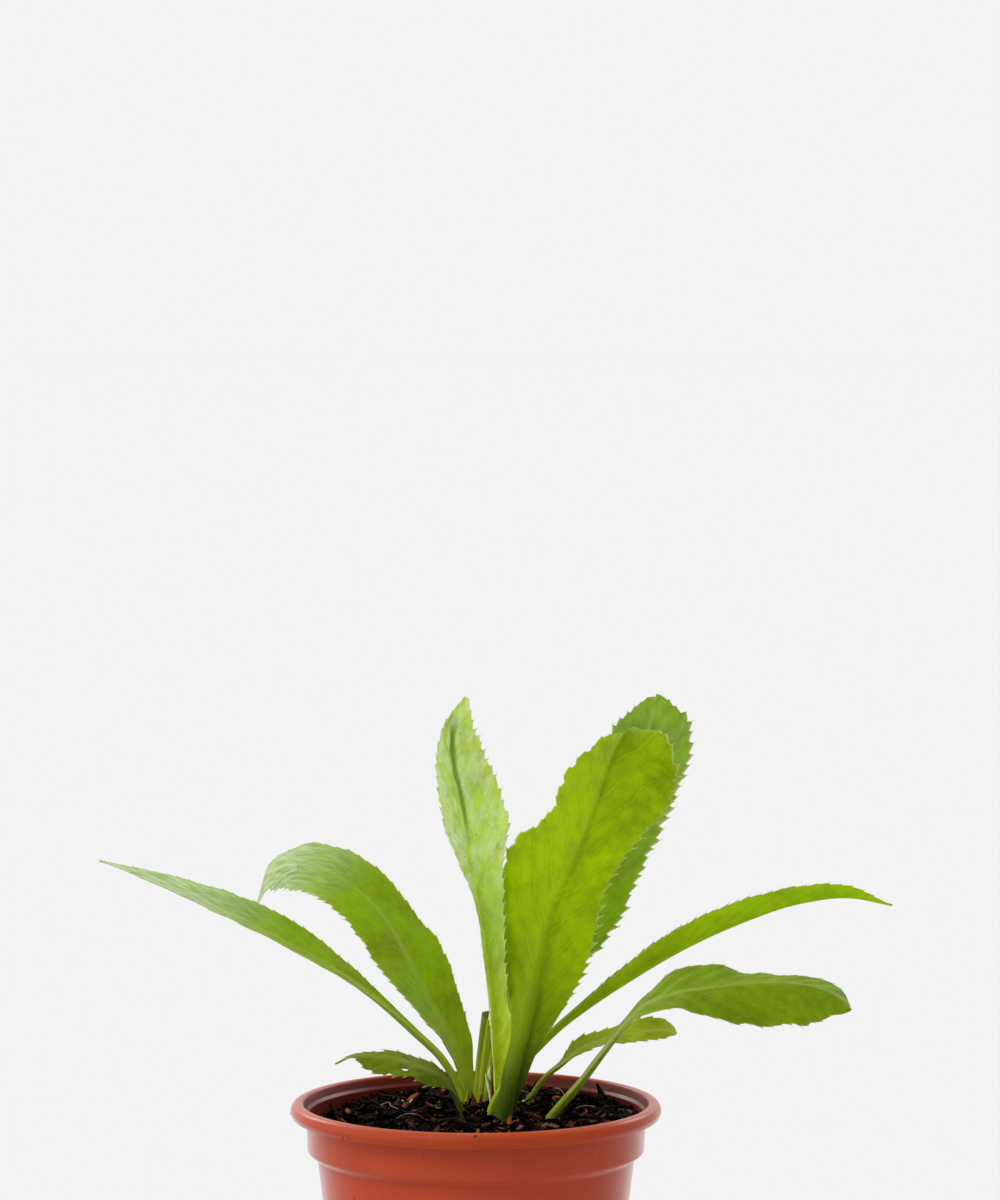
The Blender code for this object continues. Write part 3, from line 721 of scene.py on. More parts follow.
draw = np.random.default_rng(SEED + 1)
radius = CHIP_FIELD * np.sqrt(draw.random(CHIP_COUNT))
bearing = draw.uniform(0, 2 * np.pi, CHIP_COUNT)
x, y = radius * np.cos(bearing), radius * np.sin(bearing)
kept = stalk_clearance(x, y, STALK_FEET) > STALK_ROOM
x, y = x[kept], y[kept]
count = len(x)
length = mostly_small(draw, count, *CHIP_LENGTHS)
width = mostly_small(draw, count, *CHIP_WIDTHS)
thickness = mostly_small(draw, count, *CHIP_THICKNESSES)
shapes = chip_shapes(count, length, width, thickness, draw)
pitch = draw.normal(0, CHIP_PITCH, count)
yaw = draw.uniform(0, 2 * np.pi, count)
roll = draw.uniform(-CHIP_ROLL, CHIP_ROLL, count)
shapes = np.einsum("nij,npj->npi", turn_matrices(yaw, pitch, roll), shapes)
lift = mostly_small(draw, count, *CHIP_LIFTS)
centres = np.stack([x, y, soil_height(x, y) + lift], axis=-1)
spread = np.hypot(*(shapes + centres[:, None])[..., :2].transpose(2, 0, 1)).max(axis=1)
inward = np.minimum(1, (soil_edge - 0.4) / spread)
centres[:, :2] *= inward[:, None]
shapes = shapes + centres[:, None]
tone = np.repeat(draw.random((count, 3)), CHIP_POINTS, axis=0)
bark_chips = make_piece("bark_chips", shapes.reshape(-1, 3), chip_faces(count), values={"tone": tone})

# %% [markdown]
# Between the chips lie crumbs. Each is an octahedron of its own size in all three directions,
# and it carries three random values for its finish, as a chip does.

# %% Crumbs
CRUMB_COUNT = 1300
CRUMB_SIZES = (0.2, 0.75)
CRUMB_UNEVEN = (0.6, 1.3)
CRUMB_LIFTS = (0.1, 1.3)


def octahedron():
    """A closed shape of six points and eight triangles, radius 1."""
    points = np.array([(1, 0, 0), (0, 1, 0), (-1, 0, 0), (0, -1, 0), (0, 0, 1), (0, 0, -1)], dtype=float)
    upper = [(0, 1, 4), (1, 2, 4), (2, 3, 4), (3, 0, 4)]
    lower = [(1, 0, 5), (2, 1, 5), (3, 2, 5), (0, 3, 5)]
    return points, np.zeros((0, 4), dtype=int), np.array(upper + lower)


draw = np.random.default_rng(SEED + 2)
radius = (soil_edge - 1.0) * np.sqrt(draw.random(CRUMB_COUNT))
bearing = draw.uniform(0, 2 * np.pi, CRUMB_COUNT)
x, y = radius * np.cos(bearing), radius * np.sin(bearing)
centres = np.stack([x, y, soil_height(x, y) + draw.uniform(*CRUMB_LIFTS, CRUMB_COUNT)], axis=-1)
sizes = draw.uniform(*CRUMB_SIZES, (CRUMB_COUNT, 1)) * draw.uniform(*CRUMB_UNEVEN, (CRUMB_COUNT, 3))
crumb = octahedron()
shapes = scatter(crumb, centres, draw.uniform(0, 6.3, CRUMB_COUNT), sizes)
tone = np.repeat(draw.random((CRUMB_COUNT, 3)), len(crumb[0]), axis=0)
crumbs = make_piece("soil_crumbs", *shapes, values={"tone": tone})

# %% [markdown]
# ## Curves through stations
#
# Leaves, stalks and fibres all follow curves through a few stations. The curve between two
# stations is a cubic with the slope that their neighbours give, so it passes through each
# station without a kink.

# %% Curves
def smooth_values(knots, values, at):
    """Cubic Hermite curve through rows of values at knots, with slopes from the neighbours."""
    slopes = np.gradient(values, knots, axis=0)
    i = np.clip(np.searchsorted(knots, at, side="right") - 1, 0, len(knots) - 2)
    span = (knots[i + 1] - knots[i])[:, None]
    f = (at - knots[i])[:, None] / span
    first = (2 * f**3 - 3 * f**2 + 1) * values[i] + (f**3 - 2 * f**2 + f) * span * slopes[i]
    second = (3 * f**2 - 2 * f**3) * values[i + 1] + (f**3 - f**2) * span * slopes[i + 1]
    return first + second


def knots_of(stations):
    """Distance along the line through the stations, from the first one."""
    steps = np.linalg.norm(np.diff(stations[:, :3], axis=0), axis=1)
    return np.concatenate([[0.0], np.cumsum(steps)])


def unit(vectors):
    """The vectors at length 1."""
    return vectors / np.linalg.norm(vectors, axis=-1, keepdims=True)


# %% [markdown]
# A bar along a curve needs a side and an up at every step that don't spin. Both come from the
# curve's direction and one fixed direction that is nearly level.

# %% Bars along curves
NEAR_DEPTH = np.array([0.31, 0.95, 0.05])


def rod_along(stations, rings, sides, grooves=0.0):
    """A closed bar along (x, y, z, radius) stations: a ring of points at each step.

    Each ring stands across the curve, and grooves makes shallow flutes, 1 + g * cos(5 a).
    """
    stations = np.array(stations, dtype=float)
    knots = knots_of(stations)
    at = np.linspace(0, knots[-1], rings)
    values = smooth_values(knots, stations, at)
    forward = unit(np.gradient(values[:, :3], at, axis=0))
    side = unit(np.cross(forward, NEAR_DEPTH))
    up = np.cross(side, forward)
    angle = np.linspace(0, 2 * np.pi, sides, endpoint=False)
    ring = np.cos(angle)[:, None] * side[:, None] + np.sin(angle)[:, None] * up[:, None]
    reach = values[:, 3:4] * (1 + grooves * np.cos(5 * angle))
    rings_of_points = values[:, None, :3] + ring * reach[..., None]
    points, fans = close_ends(rings_of_points, [values[0, :3], values[-1, :3]])
    return points, grid_quads(rings, sides, wrap=True), fans


def joined(parts):
    """Several closed shapes as one set of points, quads and triangles."""
    shift = np.cumsum([0] + [len(part[0]) for part in parts[:-1]])
    points = np.concatenate([part[0] for part in parts])
    quads = np.concatenate([part[1] + s for part, s in zip(parts, shift)])
    fans = np.concatenate([part[2] + s for part, s in zip(parts, shift)])
    return points, quads, fans


# %% [markdown]
# Pale dry fibres of old root curl up between the chips. A fibre is a thin bar along a curve.

# %% Fibres
# Each fibre: four (x, y, z) points in mm
FIBRES = [
    [(15, 10, 110), (13, 9, 113.5), (11.5, 8, 115), (10.5, 7.5, 117)],
    [(16, 11, 110), (18, 10, 112), (17, 8, 114), (18.5, 7, 116)],
    [(31, -8, 118), (30, -8.6, 120), (29, -9, 121), (27.5, -9.3, 121.3)],
    [(30.5, -8, 117.5), (31.8, -8.8, 119.2), (33, -9.4, 119.6), (34.5, -9.8, 120.6)],
    [(-2, 13, 111), (-1, 12, 115), (-2, 11, 118), (-0.8, 10.5, 120)],
    [(2, 14, 111), (3, 13, 114), (1.5, 12, 117), (2.5, 11, 118.5)],
    [(-18, -4, 110), (-21, -6, 111.4), (-25, -5, 111.2), (-28, -7, 110)],
    [(34, 12, 110), (38, 10, 111.5), (42, 11, 111), (45, 9, 110)],
    [(-34, 20, 110), (-31, 17, 111.5), (-30, 13, 111), (-27, 11, 110)],
    [(10, 36, 110.5), (15, 38, 112), (19, 36, 111.5), (22, 39, 110)],
]
FIBRE_RADIUS = 0.11

routes = [[(*point, FIBRE_RADIUS) for point in route] for route in FIBRES]
fibres = make_piece("fibres", *joined([rod_along(route, 14, 5) for route in routes]))

# %% [markdown]
# ## Soil finishes
#
# Wet bark is nearly black, with single chips that are red-brown, grey or bright orange where
# they broke. The stored random values pick each chip's tone, and fine grain along it gives the
# broken, splintery gloss.

# %% Soil paints
SOIL_BROWNS = ((0.3, (0.0008, 0.0005, 0.0003)), (0.65, (0.003, 0.0014, 0.0007)),
               (0.85, (0.014, 0.006, 0.003)))
BARK_TONES = ((0.0, (0.0008, 0.0004, 0.0003)), (0.62, (0.002, 0.001, 0.0006)),
              (0.76, (0.014, 0.005, 0.002)), (0.87, (0.070, 0.020, 0.008)),
              (0.945, (0.120, 0.062, 0.038)), (0.985, (0.26, 0.056, 0.014)))
GRAIN_PALE = (0.22, 0.115, 0.07)
FIBRE_TONES = (0.3, (0.28, 0.20, 0.12)), (0.7, (0.46, 0.38, 0.27))


def soil_paint():
    """Nearly black crumbly soil."""
    material, wire, shader = new_paint("dark_soil")
    cloud = wire.noise(500, 5, roughness=0.7)
    dress(shader, cloud.ramp(*SOIL_BROWNS), 0.95 - cloud * 0.3, (0.9, 0.0008, cloud),
          Specular_IOR_Level=0.01)
    return material


def bark_paint():
    """Bark in dark, red, grey and orange tones, picked by each chip's stored values."""
    material, wire, shader = new_paint("bark")
    first, second, _ = wire.stored("tone").parts()
    grain = wire.noise(1400, 3, roughness=0.65)
    splinters = grain.step(0.5, 0.75) * 0.5 * second * first.step(0.5, 0.85)
    colour = first.ramp(*BARK_TONES).tint(splinters, GRAIN_PALE)
    dress(shader, colour, 0.50 + grain * 0.40, (0.6, 0.0004, grain), Specular_IOR_Level=0.02)
    return material


def fibre_paint():
    """Pale dry root fibre, browner in places."""
    material, wire, shader = new_paint("dry_fibre")
    dress(shader, wire.noise(300, 2).ramp(*FIBRE_TONES), 0.6 + wire.noise(900, 2) * 0.2)
    return material


bark = bark_paint()
place(soil_body, soil_paint(), "soil", "soil")
place(bark_chips, bark, "soil")
place(crumbs, bark, "soil")
place(fibres, fibre_paint(), "root")
print("soil finished")

# %% [markdown]
# ## Leaf tables
#
# A culantro leaf is a long paddle: a grooved stalk that widens into a blade with saw teeth, a
# thick rib below and a shallow valley above. The table gives each leaf's bearing, the rib's
# thickness at its foot, the station where its teeth begin, and its stations. A station is the
# rib's x, y and z, then the half width and the lift in degrees of the left half and of the right
# half, as seen from the foot. They are the solid model's own values, but where the upright and
# the broad leaf pass each other the halves are up to 1 mm wider, since the teeth here are finer.

# %% Leaf tables
LEAVES = {
    "leaf_left_long": (176, 2.3, 4, [
        (-3.5, 15.5, 103.5, 1.6, 20, 1.6, 20),
        (-4.5, 17, 114.5, 1.7, 20, 1.7, 20),
        (-11.5, 18, 126.8, 1.7, 30, 1.7, 30),
        (-22.5, 19, 137.2, 1.9, 20, 2, 40),
        (-35.3, 20, 148.2, 3.2, 0, 3.2, 42),
        (-50, 22, 158.2, 6.2, -3, 6.8, 36),
        (-66, 23, 167.3, 9.3, 0, 10.5, 36),
        (-84, 24, 176.5, 10.5, 0, 11.5, 30),
        (-105, 26, 186.5, 8, -5, 8.5, 18),
        (-121, 27, 192.5, 4.5, -5, 4.5, 10),
        (-134, 28, 196.5, 0.6, 0, 0.6, 0),
    ]),
    "leaf_left_arch": (150, 2.6, 2, [
        (-2.5, 23.5, 103.5, 1.7, 20, 1.7, 20),
        (-3, 26, 114.5, 2, 20, 2.6, 30),
        (-7.5, 30, 128, 6, 10, 7.2, 32),
        (-17, 37, 145, 10.8, -5, 12, 35),
        (-25, 44, 160, 13.3, -25, 14, 33),
        (-33, 51, 172.5, 13.5, -27, 12, 26),
        (-44, 59, 182.5, 13, -30, 12.3, 36),
        (-55, 67, 188, 12, -40, 12, 37),
        (-68, 74, 189.2, 11, -50, 11.5, 33),
        (-77, 78, 184.5, 7.5, -55, 8.5, 36),
        (-81, 80, 174, 3, -40, 3, 20),
    ]),
    "leaf_upright": (100, 2.6, 4, [
        (9, 9, 103, 1.8, 20, 1.8, 20),
        (8.5, 8, 115, 2, 30, 2.4, 25),
        (8, 7, 125, 2.4, 45, 5, 33),
        (7, 4, 137, 3, 60, 7.4, 42),
        (5.8, 2, 151.5, 3.6, 66, 7.0, 52),
        (4, 1.5, 165, 4.6, 68, 7.8, 50),
        (1.6, 3, 183, 6.2, 68, 9.8, 46),
        (-1.6, 5.5, 198, 9.2, 55, 13, 40),
        (-3.3, 8, 210, 11.8, 42, 15.3, 28),
        (-5.3, 11, 221, 12, 42, 13.7, 25),
        (-8, 14, 232, 10.2, 45, 12, 28),
        (-8.5, 16.5, 243, 6.4, 50, 9, 25),
        (-3.5, 19, 255.5, 0.6, 40, 0.8, 20),
    ]),
    "leaf_broad": (-90, 4.2, 4, [
        (10, -8.5, 104.5, 2.6, 10, 2.6, 10),
        (11, -9, 115.5, 3.2, 10, 3, 20),
        (12.5, -9.5, 124, 4.8, 15, 4.2, 35),
        (15.5, -9.5, 136, 6.6, 15, 6.2, 56),
        (19, -9.5, 149.5, 11.2, 15, 12.4, 53),
        (22.5, -9.5, 167, 16.5, 15, 19, 42),
        (26.5, -9.5, 183, 16.5, 15, 22.5, 34),
        (32, -10, 196, 15, 20, 25.5, 34),
        (38, -11, 210.5, 18, 20, 17.6, 42),
        (43.5, -12, 226.5, 24, 10, 16.5, 42),
        (48, -12, 239, 23.5, 8, 10, 45),
        (52, -9.5, 245.5, 18.5, 5, 5.5, 40),
        (55, -4, 246.5, 2, 0, 0.8, 20),
    ]),
    "leaf_behind": (65, 2.8, 4, [
        (4.5, 27, 103, 1.8, 20, 1.8, 20),
        (4.5, 28, 114, 1.8, 20, 1.8, 20),
        (5.3, 30, 129, 2, 25, 2.6, 25),
        (9.5, 33, 143, 3, 25, 5.5, 25),
        (19, 37, 156, 7, 25, 13.2, 18),
        (30, 42, 170.3, 12, 25, 19.5, 8),
        (37.5, 47, 184, 15, 25, 20, 5),
        (44, 52, 198, 16, 25, 19.7, 5),
        (51.5, 57, 213.5, 15.5, 22, 20.2, 6),
        (58, 62, 229, 14, 20, 20, 5),
        (62, 66, 240, 10.2, 15, 17, 0),
        (64, 68.5, 247, 6, 12, 11, 0),
        (64.8, 69.3, 250.5, 2.5, 10, 5, 0),
    ]),
    "leaf_right_long": (4, 2.2, 5, [
        (3, 0.5, 104, 1.7, 20, 1.7, 20),
        (5.3, 0.5, 113.2, 1.8, 30, 1.8, 30),
        (11, 1.5, 122.8, 1.8, 30, 1.8, 30),
        (20.3, 4, 132.3, 1.9, 30, 1.9, 30),
        (29.5, 7, 140.5, 2.1, 40, 2, 50),
        (40, 10, 147.8, 3.3, 45, 3, 62),
        (54.5, 14, 156.5, 6, 45, 5.2, 68),
        (72, 18, 166, 8.5, 45, 8.2, 68),
        (93, 22, 175, 9, 40, 9, 65),
        (115, 25, 181.8, 8, 35, 7.6, 60),
        (132.5, 27, 183.5, 5.5, 30, 5, 60),
        (148, 28, 180.5, 0.6, 10, 0.6, 30),
    ]),
    "leaf_right_low": (-5, 2.8, 4, [
        (21, -5, 105.5, 1.8, 20, 1.8, 20),
        (27, -7, 113, 1.9, 25, 1.8, 10),
        (35.3, -9, 122.8, 2.1, 20, 2, -10),
        (44.5, -11, 135.2, 2.5, 15, 2.5, -15),
        (52, -12.5, 144.8, 3.4, 20, 3.6, -20),
        (58.5, -13.5, 151, 5.6, 22, 6, -25),
        (67.5, -14.5, 155, 10.8, 32, 8.6, -28),
        (81, -15.5, 157.5, 13, 31, 12, -55),
        (95, -16.5, 159, 11, 12, 15.2, -68),
        (109, -17.5, 159.3, 9.5, 7, 15.2, -68),
        (120.5, -18.5, 157.3, 8.5, 14, 13.5, -62),
        (126.5, -19.2, 154, 6, 14, 9.5, -58),
        (129, -19.5, 151.5, 2.6, 10, 4.5, -50),
    ]),
    "leaf_right_small": (5, 1.9, 3, [
        (13.5, 14, 106.5, 1.2, 20, 1.2, 20),
        (19, 14.5, 114.5, 1.2, 20, 1.2, 20),
        (24, 15, 121, 1.3, 20, 1.3, 20),
        (30.5, 15.5, 126, 2, 30, 1.6, -10),
        (36.5, 16, 131, 4.5, 40, 3.5, -20),
        (44.5, 17, 134, 5.5, 25, 4.5, -15),
        (54.5, 18, 136, 6.2, 25, 5.5, -25),
        (62.5, 19, 137, 6.5, 35, 5, -30),
        (68, 19.7, 136.8, 5, 38, 3.8, -30),
        (70.5, 20, 136, 2.6, 30, 1.8, -20),
    ]),
    "leaf_left_small": (182, 2.2, 2, [
        (-1.5, -9, 106.5, 1.5, 10, 1.5, 10),
        (-4.5, -9.5, 114, 1.6, 10, 1.6, 10),
        (-8, -10, 121, 2.2, -20, 1.8, 30),
        (-12.5, -10.5, 126, 6, -45, 3.5, 30),
        (-19.5, -11, 129, 7, -35, 5, 25),
        (-28, -11.5, 131.8, 7, -36, 5.5, 20),
        (-37, -12, 133, 7, -42, 4, 12),
        (-42, -12.4, 133.3, 2, -25, 2, 5),
        (-49, -13, 130.5, 0.6, 0, 0.6, 0),
    ]),
}
print(len(LEAVES), "leaves")

# %% [markdown]
# Each leaf also has a character that the solids are too coarse for: how tall its teeth are on
# the left and on the right, how deep the scallops of its outline are, how far apart its side
# veins leave the rib, how steeply they run forward, how much the blade swells between them, and
# how much its margin ripples.

# %% Leaf characters
# Left tooth, right tooth, left scallop, right scallop, vein spacing, vein slope, swelling,
# ripple, in mm
CHARACTERS = {
    "leaf_left_long": (0.3, 0.45, 0.0, 0.0, 8.0, 2.0, 0.15, 0.12),
    "leaf_left_arch": (0.9, 0.5, 0.3, 0.2, 7.0, 2.3, 0.30, 0.20),
    "leaf_upright": (0.8, 1.1, 0.3, 0.5, 9.0, 1.3, 0.90, 0.70),
    "leaf_broad": (1.5, 0.7, 1.0, 1.9, 13.0, 1.1, 0.80, 0.60),
    "leaf_behind": (1.3, 2.0, 0.9, 0.5, 11.0, 1.2, 0.60, 0.60),
    "leaf_right_long": (0.5, 0.5, 0.2, 0.2, 9.0, 2.0, 0.20, 0.15),
    "leaf_right_low": (0.4, 0.4, 0.2, 0.5, 9.0, 1.3, 0.60, 0.30),
    "leaf_right_small": (1.2, 1.0, 0.2, 0.2, 6.0, 1.2, 0.15, 0.20),
    "leaf_left_small": (1.1, 1.0, 1.2, 0.9, 6.5, 1.2, 0.30, 0.50),
}

# %% [markdown]
# ## Leaf surface
#
# The upper face is a function of two parameters: the distance along the rib, and how far across
# a half it is, from 0 at the rib to 1 at the margin. At each place along, the rib's direction and
# the leaf's bearing give a left and an up. A half leaves the rib at its lift angle. On top of
# that come the margin's ripple, the swelling between side veins and a slow random waver.

# %% Leaf surface
WAVE_LENGTH = 14.0
WAVE_SHIFT = 2.0
WAVER_LENGTHS = (31, 19, 11)
WAVER_SHARE = 0.45
SMALL_STEP = 0.5
VEIN_CURVE = 0.02
FOLD_SOFTNESS = 0.5
SCALLOP_LENGTH = 8.5
MARGIN_STEPS = 600


class Leaf:
    """A leaf's table, its character and its own random draw.

    Places along the toothed part are its walk. There it keeps how fast each half widens, the
    length of the longer margin for each mm of the rib, and that margin's length so far.
    """

    def __init__(self, name):
        self.bearing, self.rib, toothed, table = LEAVES[name]
        self.stations = np.array(table, dtype=float)
        self.knots = knots_of(self.stations)
        self.length = self.knots[-1]
        self.start = self.knots[toothed]
        self.teeth = dict(zip((1, -1), CHARACTERS[name][:2]))
        self.scallops = dict(zip((1, -1), CHARACTERS[name][2:4]))
        self.spacing, self.slope, self.swelling, self.ripple = CHARACTERS[name][4:]
        self.walk = np.linspace(self.start, self.length, MARGIN_STEPS)
        slopes = np.gradient(self.values(self.walk)[:, [3, 5]], self.walk, axis=0)
        self.slopes = dict(zip((1, -1), slopes.T))
        self.pace = np.sqrt(1 + (slopes**2).max(axis=1))
        steps = (self.pace[1:] + self.pace[:-1]) / 2 * np.diff(self.walk)
        self.passed = np.concatenate([[0], np.cumsum(steps)])
        self.draw = np.random.default_rng(SEED + 10 + list(LEAVES).index(name))
        self.waver = self.draw.uniform(0, 2 * np.pi, (2, len(WAVER_LENGTHS)))

    def values(self, at):
        """The station values at each distance along the rib."""
        return smooth_values(self.knots, self.stations, at)

    def axes(self, at):
        """The leaf's left and up at each distance along the rib."""
        forward = unit(self.values(at + SMALL_STEP)[:, :3] - self.values(at - SMALL_STEP)[:, :3])
        turn = math.radians(self.bearing)
        flat = np.array([-math.sin(turn), math.cos(turn), 0.0])
        left = unit(flat - (forward @ flat)[:, None] * forward)
        return left, np.cross(forward, left)

    def vein_turns(self, at, reach):
        """How many side veins lie between the foot and this place: whole on a vein."""
        return (at - self.slope * reach - VEIN_CURVE * reach**2) / self.spacing

    def face(self, at, side, across, beyond):
        """Points of the upper face for flat arrays of places along and across."""
        values = self.values(at)
        left, up = self.axes(at)
        width = np.where(side > 0, values[:, 3], values[:, 5])
        lift = np.radians(np.where(side > 0, values[:, 4], values[:, 6]))
        reach = width * across + beyond
        wave = np.sin(2 * np.pi * at / WAVE_LENGTH + np.where(side > 0, 0.0, WAVE_SHIFT))
        ripple = self.ripple * np.minimum(width / 10, 1) * across**2 * wave
        blade = np.clip(width / 8, 0, 1) ** 2
        phases = np.where(side > 0, self.waver[0][:, None], self.waver[1][:, None])
        slow = sum(np.sin(2 * np.pi * at / size + phase) for size, phase in zip(WAVER_LENGTHS, phases))
        ripple = ripple + WAVER_SHARE * self.ripple * blade * across * slow
        swell_up = self.swelling * blade * np.sin(np.pi * across.clip(0, 1)) ** 0.8
        swell_up = swell_up * (0.5 - 0.5 * np.cos(2 * np.pi * self.vein_turns(at, reach)))
        rise = (np.sqrt(reach**2 + FOLD_SOFTNESS**2) - FOLD_SOFTNESS) * np.sin(lift)
        out = side * (reach * np.cos(lift) - swell_up * np.sin(lift))
        rise = rise + ripple + swell_up * np.cos(lift)
        return values[:, :3] + out[:, None] * left + rise[:, None] * up, reach


# %% [markdown]
# ## Teeth
#
# A culantro margin is a saw: each tooth rises slowly towards the tip and drops sharply. The teeth
# follow the length of the longer margin, so that a blunt end has them too, and there they point
# forward. Rows of the grid are set so that one falls on every tooth's point. The size and place
# of each tooth come from the leaf's own draw, and the outline swings in scallops besides.

# %% Teeth
TOOTH_PITCH = 4.0
TOOTH_PEAK = 0.82
TOOTH_ROWS = np.array([0.0, 0.17, 0.34, 0.50, 0.64, 0.74, 0.82, 0.91])
TOOTH_SIZES = (0.65, 1.25)
TOOTH_DRIFT = 0.4
TOOTH_FADE = 12.0
TOOTH_SMALLEST = 0.35
TOOTH_LEAN = 0.5
TEETH_GROW = 10.0
SCALLOPS_GROW = 25.0
STALK_ROW = 1.0
END_DOME = 0.45


def leaf_rows(leaf):
    """Places of the cross rows, eight a tooth on the blade, and the number of teeth."""
    teeth = round(leaf.passed[-1] / TOOTH_PITCH)
    pitch = leaf.passed[-1] / teeth
    stalk = np.linspace(0, leaf.start, max(2, round(leaf.start / STALK_ROW)), endpoint=False)
    blade = np.interp(pitch * (np.arange(teeth)[:, None] + TOOTH_ROWS).ravel(), leaf.passed, leaf.walk)
    return np.concatenate([stalk, blade, [leaf.length]]), teeth, pitch


def tooth_shape(leaf, at, side, teeth, pitch):
    """How far a tooth stands out and forward, the scallop, and its lean, at each place along.

    A tooth climbs as part ** 1.5 to its peak and drops behind it. It stands square to the margin,
    so where a half narrows by a slope, that share of its height points forward.
    """
    passed = np.interp(at, leaf.walk, leaf.passed)
    pace = np.interp(at, leaf.walk, leaf.pace)
    slope = np.interp(at, leaf.walk, leaf.slopes[side])
    turns = passed / pitch
    number = np.clip(np.floor(turns), 0, teeth - 1).astype(int)
    part = np.clip(turns - number, 0, 1)
    size = leaf.draw.uniform(*TOOTH_SIZES, teeth)[number]
    drift = leaf.draw.uniform(-TOOTH_DRIFT, TOOTH_DRIFT, teeth)[number]
    climb = (part / TOOTH_PEAK).clip(0, 1) ** 1.5
    drop = ((1 - part) / (1 - TOOTH_PEAK)).clip(0, 1) ** 0.8
    tooth = np.where(part < TOOTH_PEAK, climb, drop) * size
    fade = ((leaf.passed[-1] - passed) / TOOTH_FADE).clip(TOOTH_SMALLEST, 1)
    grown = ((at - leaf.start) / TEETH_GROW).clip(0.4, 1)
    turned = np.pi * (at + 1.5 * np.sin(at / 7)) / SCALLOP_LENGTH
    scallop = np.abs(np.sin(turned + side)) ** 0.7 - 0.7
    swing = leaf.scallops[side] * scallop * ((at - leaf.start) / SCALLOPS_GROW).clip(0, 1) * fade
    height = leaf.teeth[side] * tooth * fade * grown * np.sqrt((1 + slope**2).clip(1, 9)) / pace
    square = 1 / np.sqrt(1 + slope**2)
    ahead = height * square * (-slope).clip(0, 5)
    lean = TOOTH_LEAN * tooth + drift * np.sin(np.pi * part)
    return height * square, ahead, swing / pace, lean * fade / pace


# %% [markdown]
# ## Leaf shell
#
# The upper face is laid on the grid, and the lower face lies under it at the blade's thickness,
# which grows to a rounded rib in the middle. Walls close the shell round the outline. Where a
# leaf is torn, cells are left out, and walls close the tear the same way.

# %% Leaf shell
# Thicknesses, widths and lengths are in mm. A taper is the power by which one falls to the tip
BLADE = 0.38
RIB_TIP = 0.55
RIB_TAPER = 1.6
RIDGE = 1.9
RIDGE_TIP = 0.4
RIDGE_TAPER = 1.4
RIDGE_FOOT = 1.25
STALK_EXTRA = 0.3
STALK_FADE = 25.0
VEIN_DEPTH = 0.16
VEIN_WIDTH = 0.9
MARGIN_THINNING = 0.45
TOOTH_ROOT = 0.8
RIB_COLUMNS = 6
BLADE_COLUMNS = 15


def across_places(width, ridge):
    """Places across a half for each row: close together on the rib and at the margin."""
    near = np.minimum(RIDGE_FOOT * ridge, 0.6 * width) / width
    on_rib = np.linspace(0, 1, RIB_COLUMNS + 1)[:-1]
    beyond = np.linspace(0, 1, BLADE_COLUMNS)
    beyond = 1 - (1 - beyond) ** 1.25
    return np.hstack([near[:, None] * on_rib, near[:, None] + (1 - near[:, None]) * beyond])


def shell_faces(solid):
    """Faces of a thin closed shell over the solid cells of a grid: two skins and their walls."""
    rows, columns = solid.shape[0] + 1, solid.shape[1] + 1
    count = rows * columns
    corners = grid_quads(rows, columns).reshape(rows - 1, columns - 1, 4)
    upper = corners[solid]
    faces = [upper, upper[:, ::-1] + count]
    padded = np.pad(solid, 1)
    for first, second, down, right in ((0, 1, -1, 0), (1, 2, 0, 1), (2, 3, 1, 0), (3, 0, 0, -1)):
        beside = padded[1 + down:rows + down, 1 + right:columns + right]
        border = corners[solid & ~beside]
        a, b = border[:, first], border[:, second]
        faces.append(np.stack([b, a, a + count, b + count], axis=-1))
    return np.concatenate(faces)


def grid_normals(points):
    """Unit normals of a grid of points: across the columns times along the rows."""
    return unit(np.cross(np.gradient(points, axis=1), np.gradient(points, axis=0)))


def thin_shell(upper, depth, solid=None):
    """A closed shell: a grid, its copy at a depth under its normals, and walls round the cells."""
    if solid is None:
        solid = np.ones((upper.shape[0] - 1, upper.shape[1] - 1), dtype=bool)
    lower = upper - grid_normals(upper) * depth
    points = np.concatenate([upper.reshape(-1, 3), lower.reshape(-1, 3)])
    return points, shell_faces(solid), np.zeros((0, 3), dtype=int)


# %% [markdown]
# The upper face comes in two halves that meet on the rib. A tooth pulls only the outer part of
# its row, so the points near the rib stay where the table has them.

# %% Upper face
def half_grid(leaf, side, at, teeth, pitch, ridge):
    """One half of the upper face as a grid of points, with its reach, place and tooth share."""
    values = leaf.values(at)
    width = values[:, 3] if side > 0 else values[:, 5]
    across = across_places(width, ridge)
    height, ahead, swing, lean = tooth_shape(leaf, at, side, teeth, pitch)
    margin = soft_step(across, TOOTH_ROOT, 1.0)
    beyond = height[:, None] * margin**2 + swing[:, None] * (across**2)
    moved = at[:, None] + lean[:, None] * margin**2
    moved = np.minimum(moved, leaf.length - 0.05)
    points, reach = leaf.face(moved.ravel(), np.full(moved.size, side), across.ravel(), beyond.ravel())
    onward = ahead[:, None] * margin**2
    onward[-1] += END_DOME * max(width[-1] - 1, 0) * (1 - across[-1] ** 2)
    left, up = leaf.axes(at)
    points = points.reshape(*across.shape, 3) + onward[..., None] * np.cross(left, up)[:, None]
    share = (np.hypot(height, ahead) / max(leaf.teeth.values()))[:, None] * margin**3
    return points, reach.reshape(across.shape), across, share


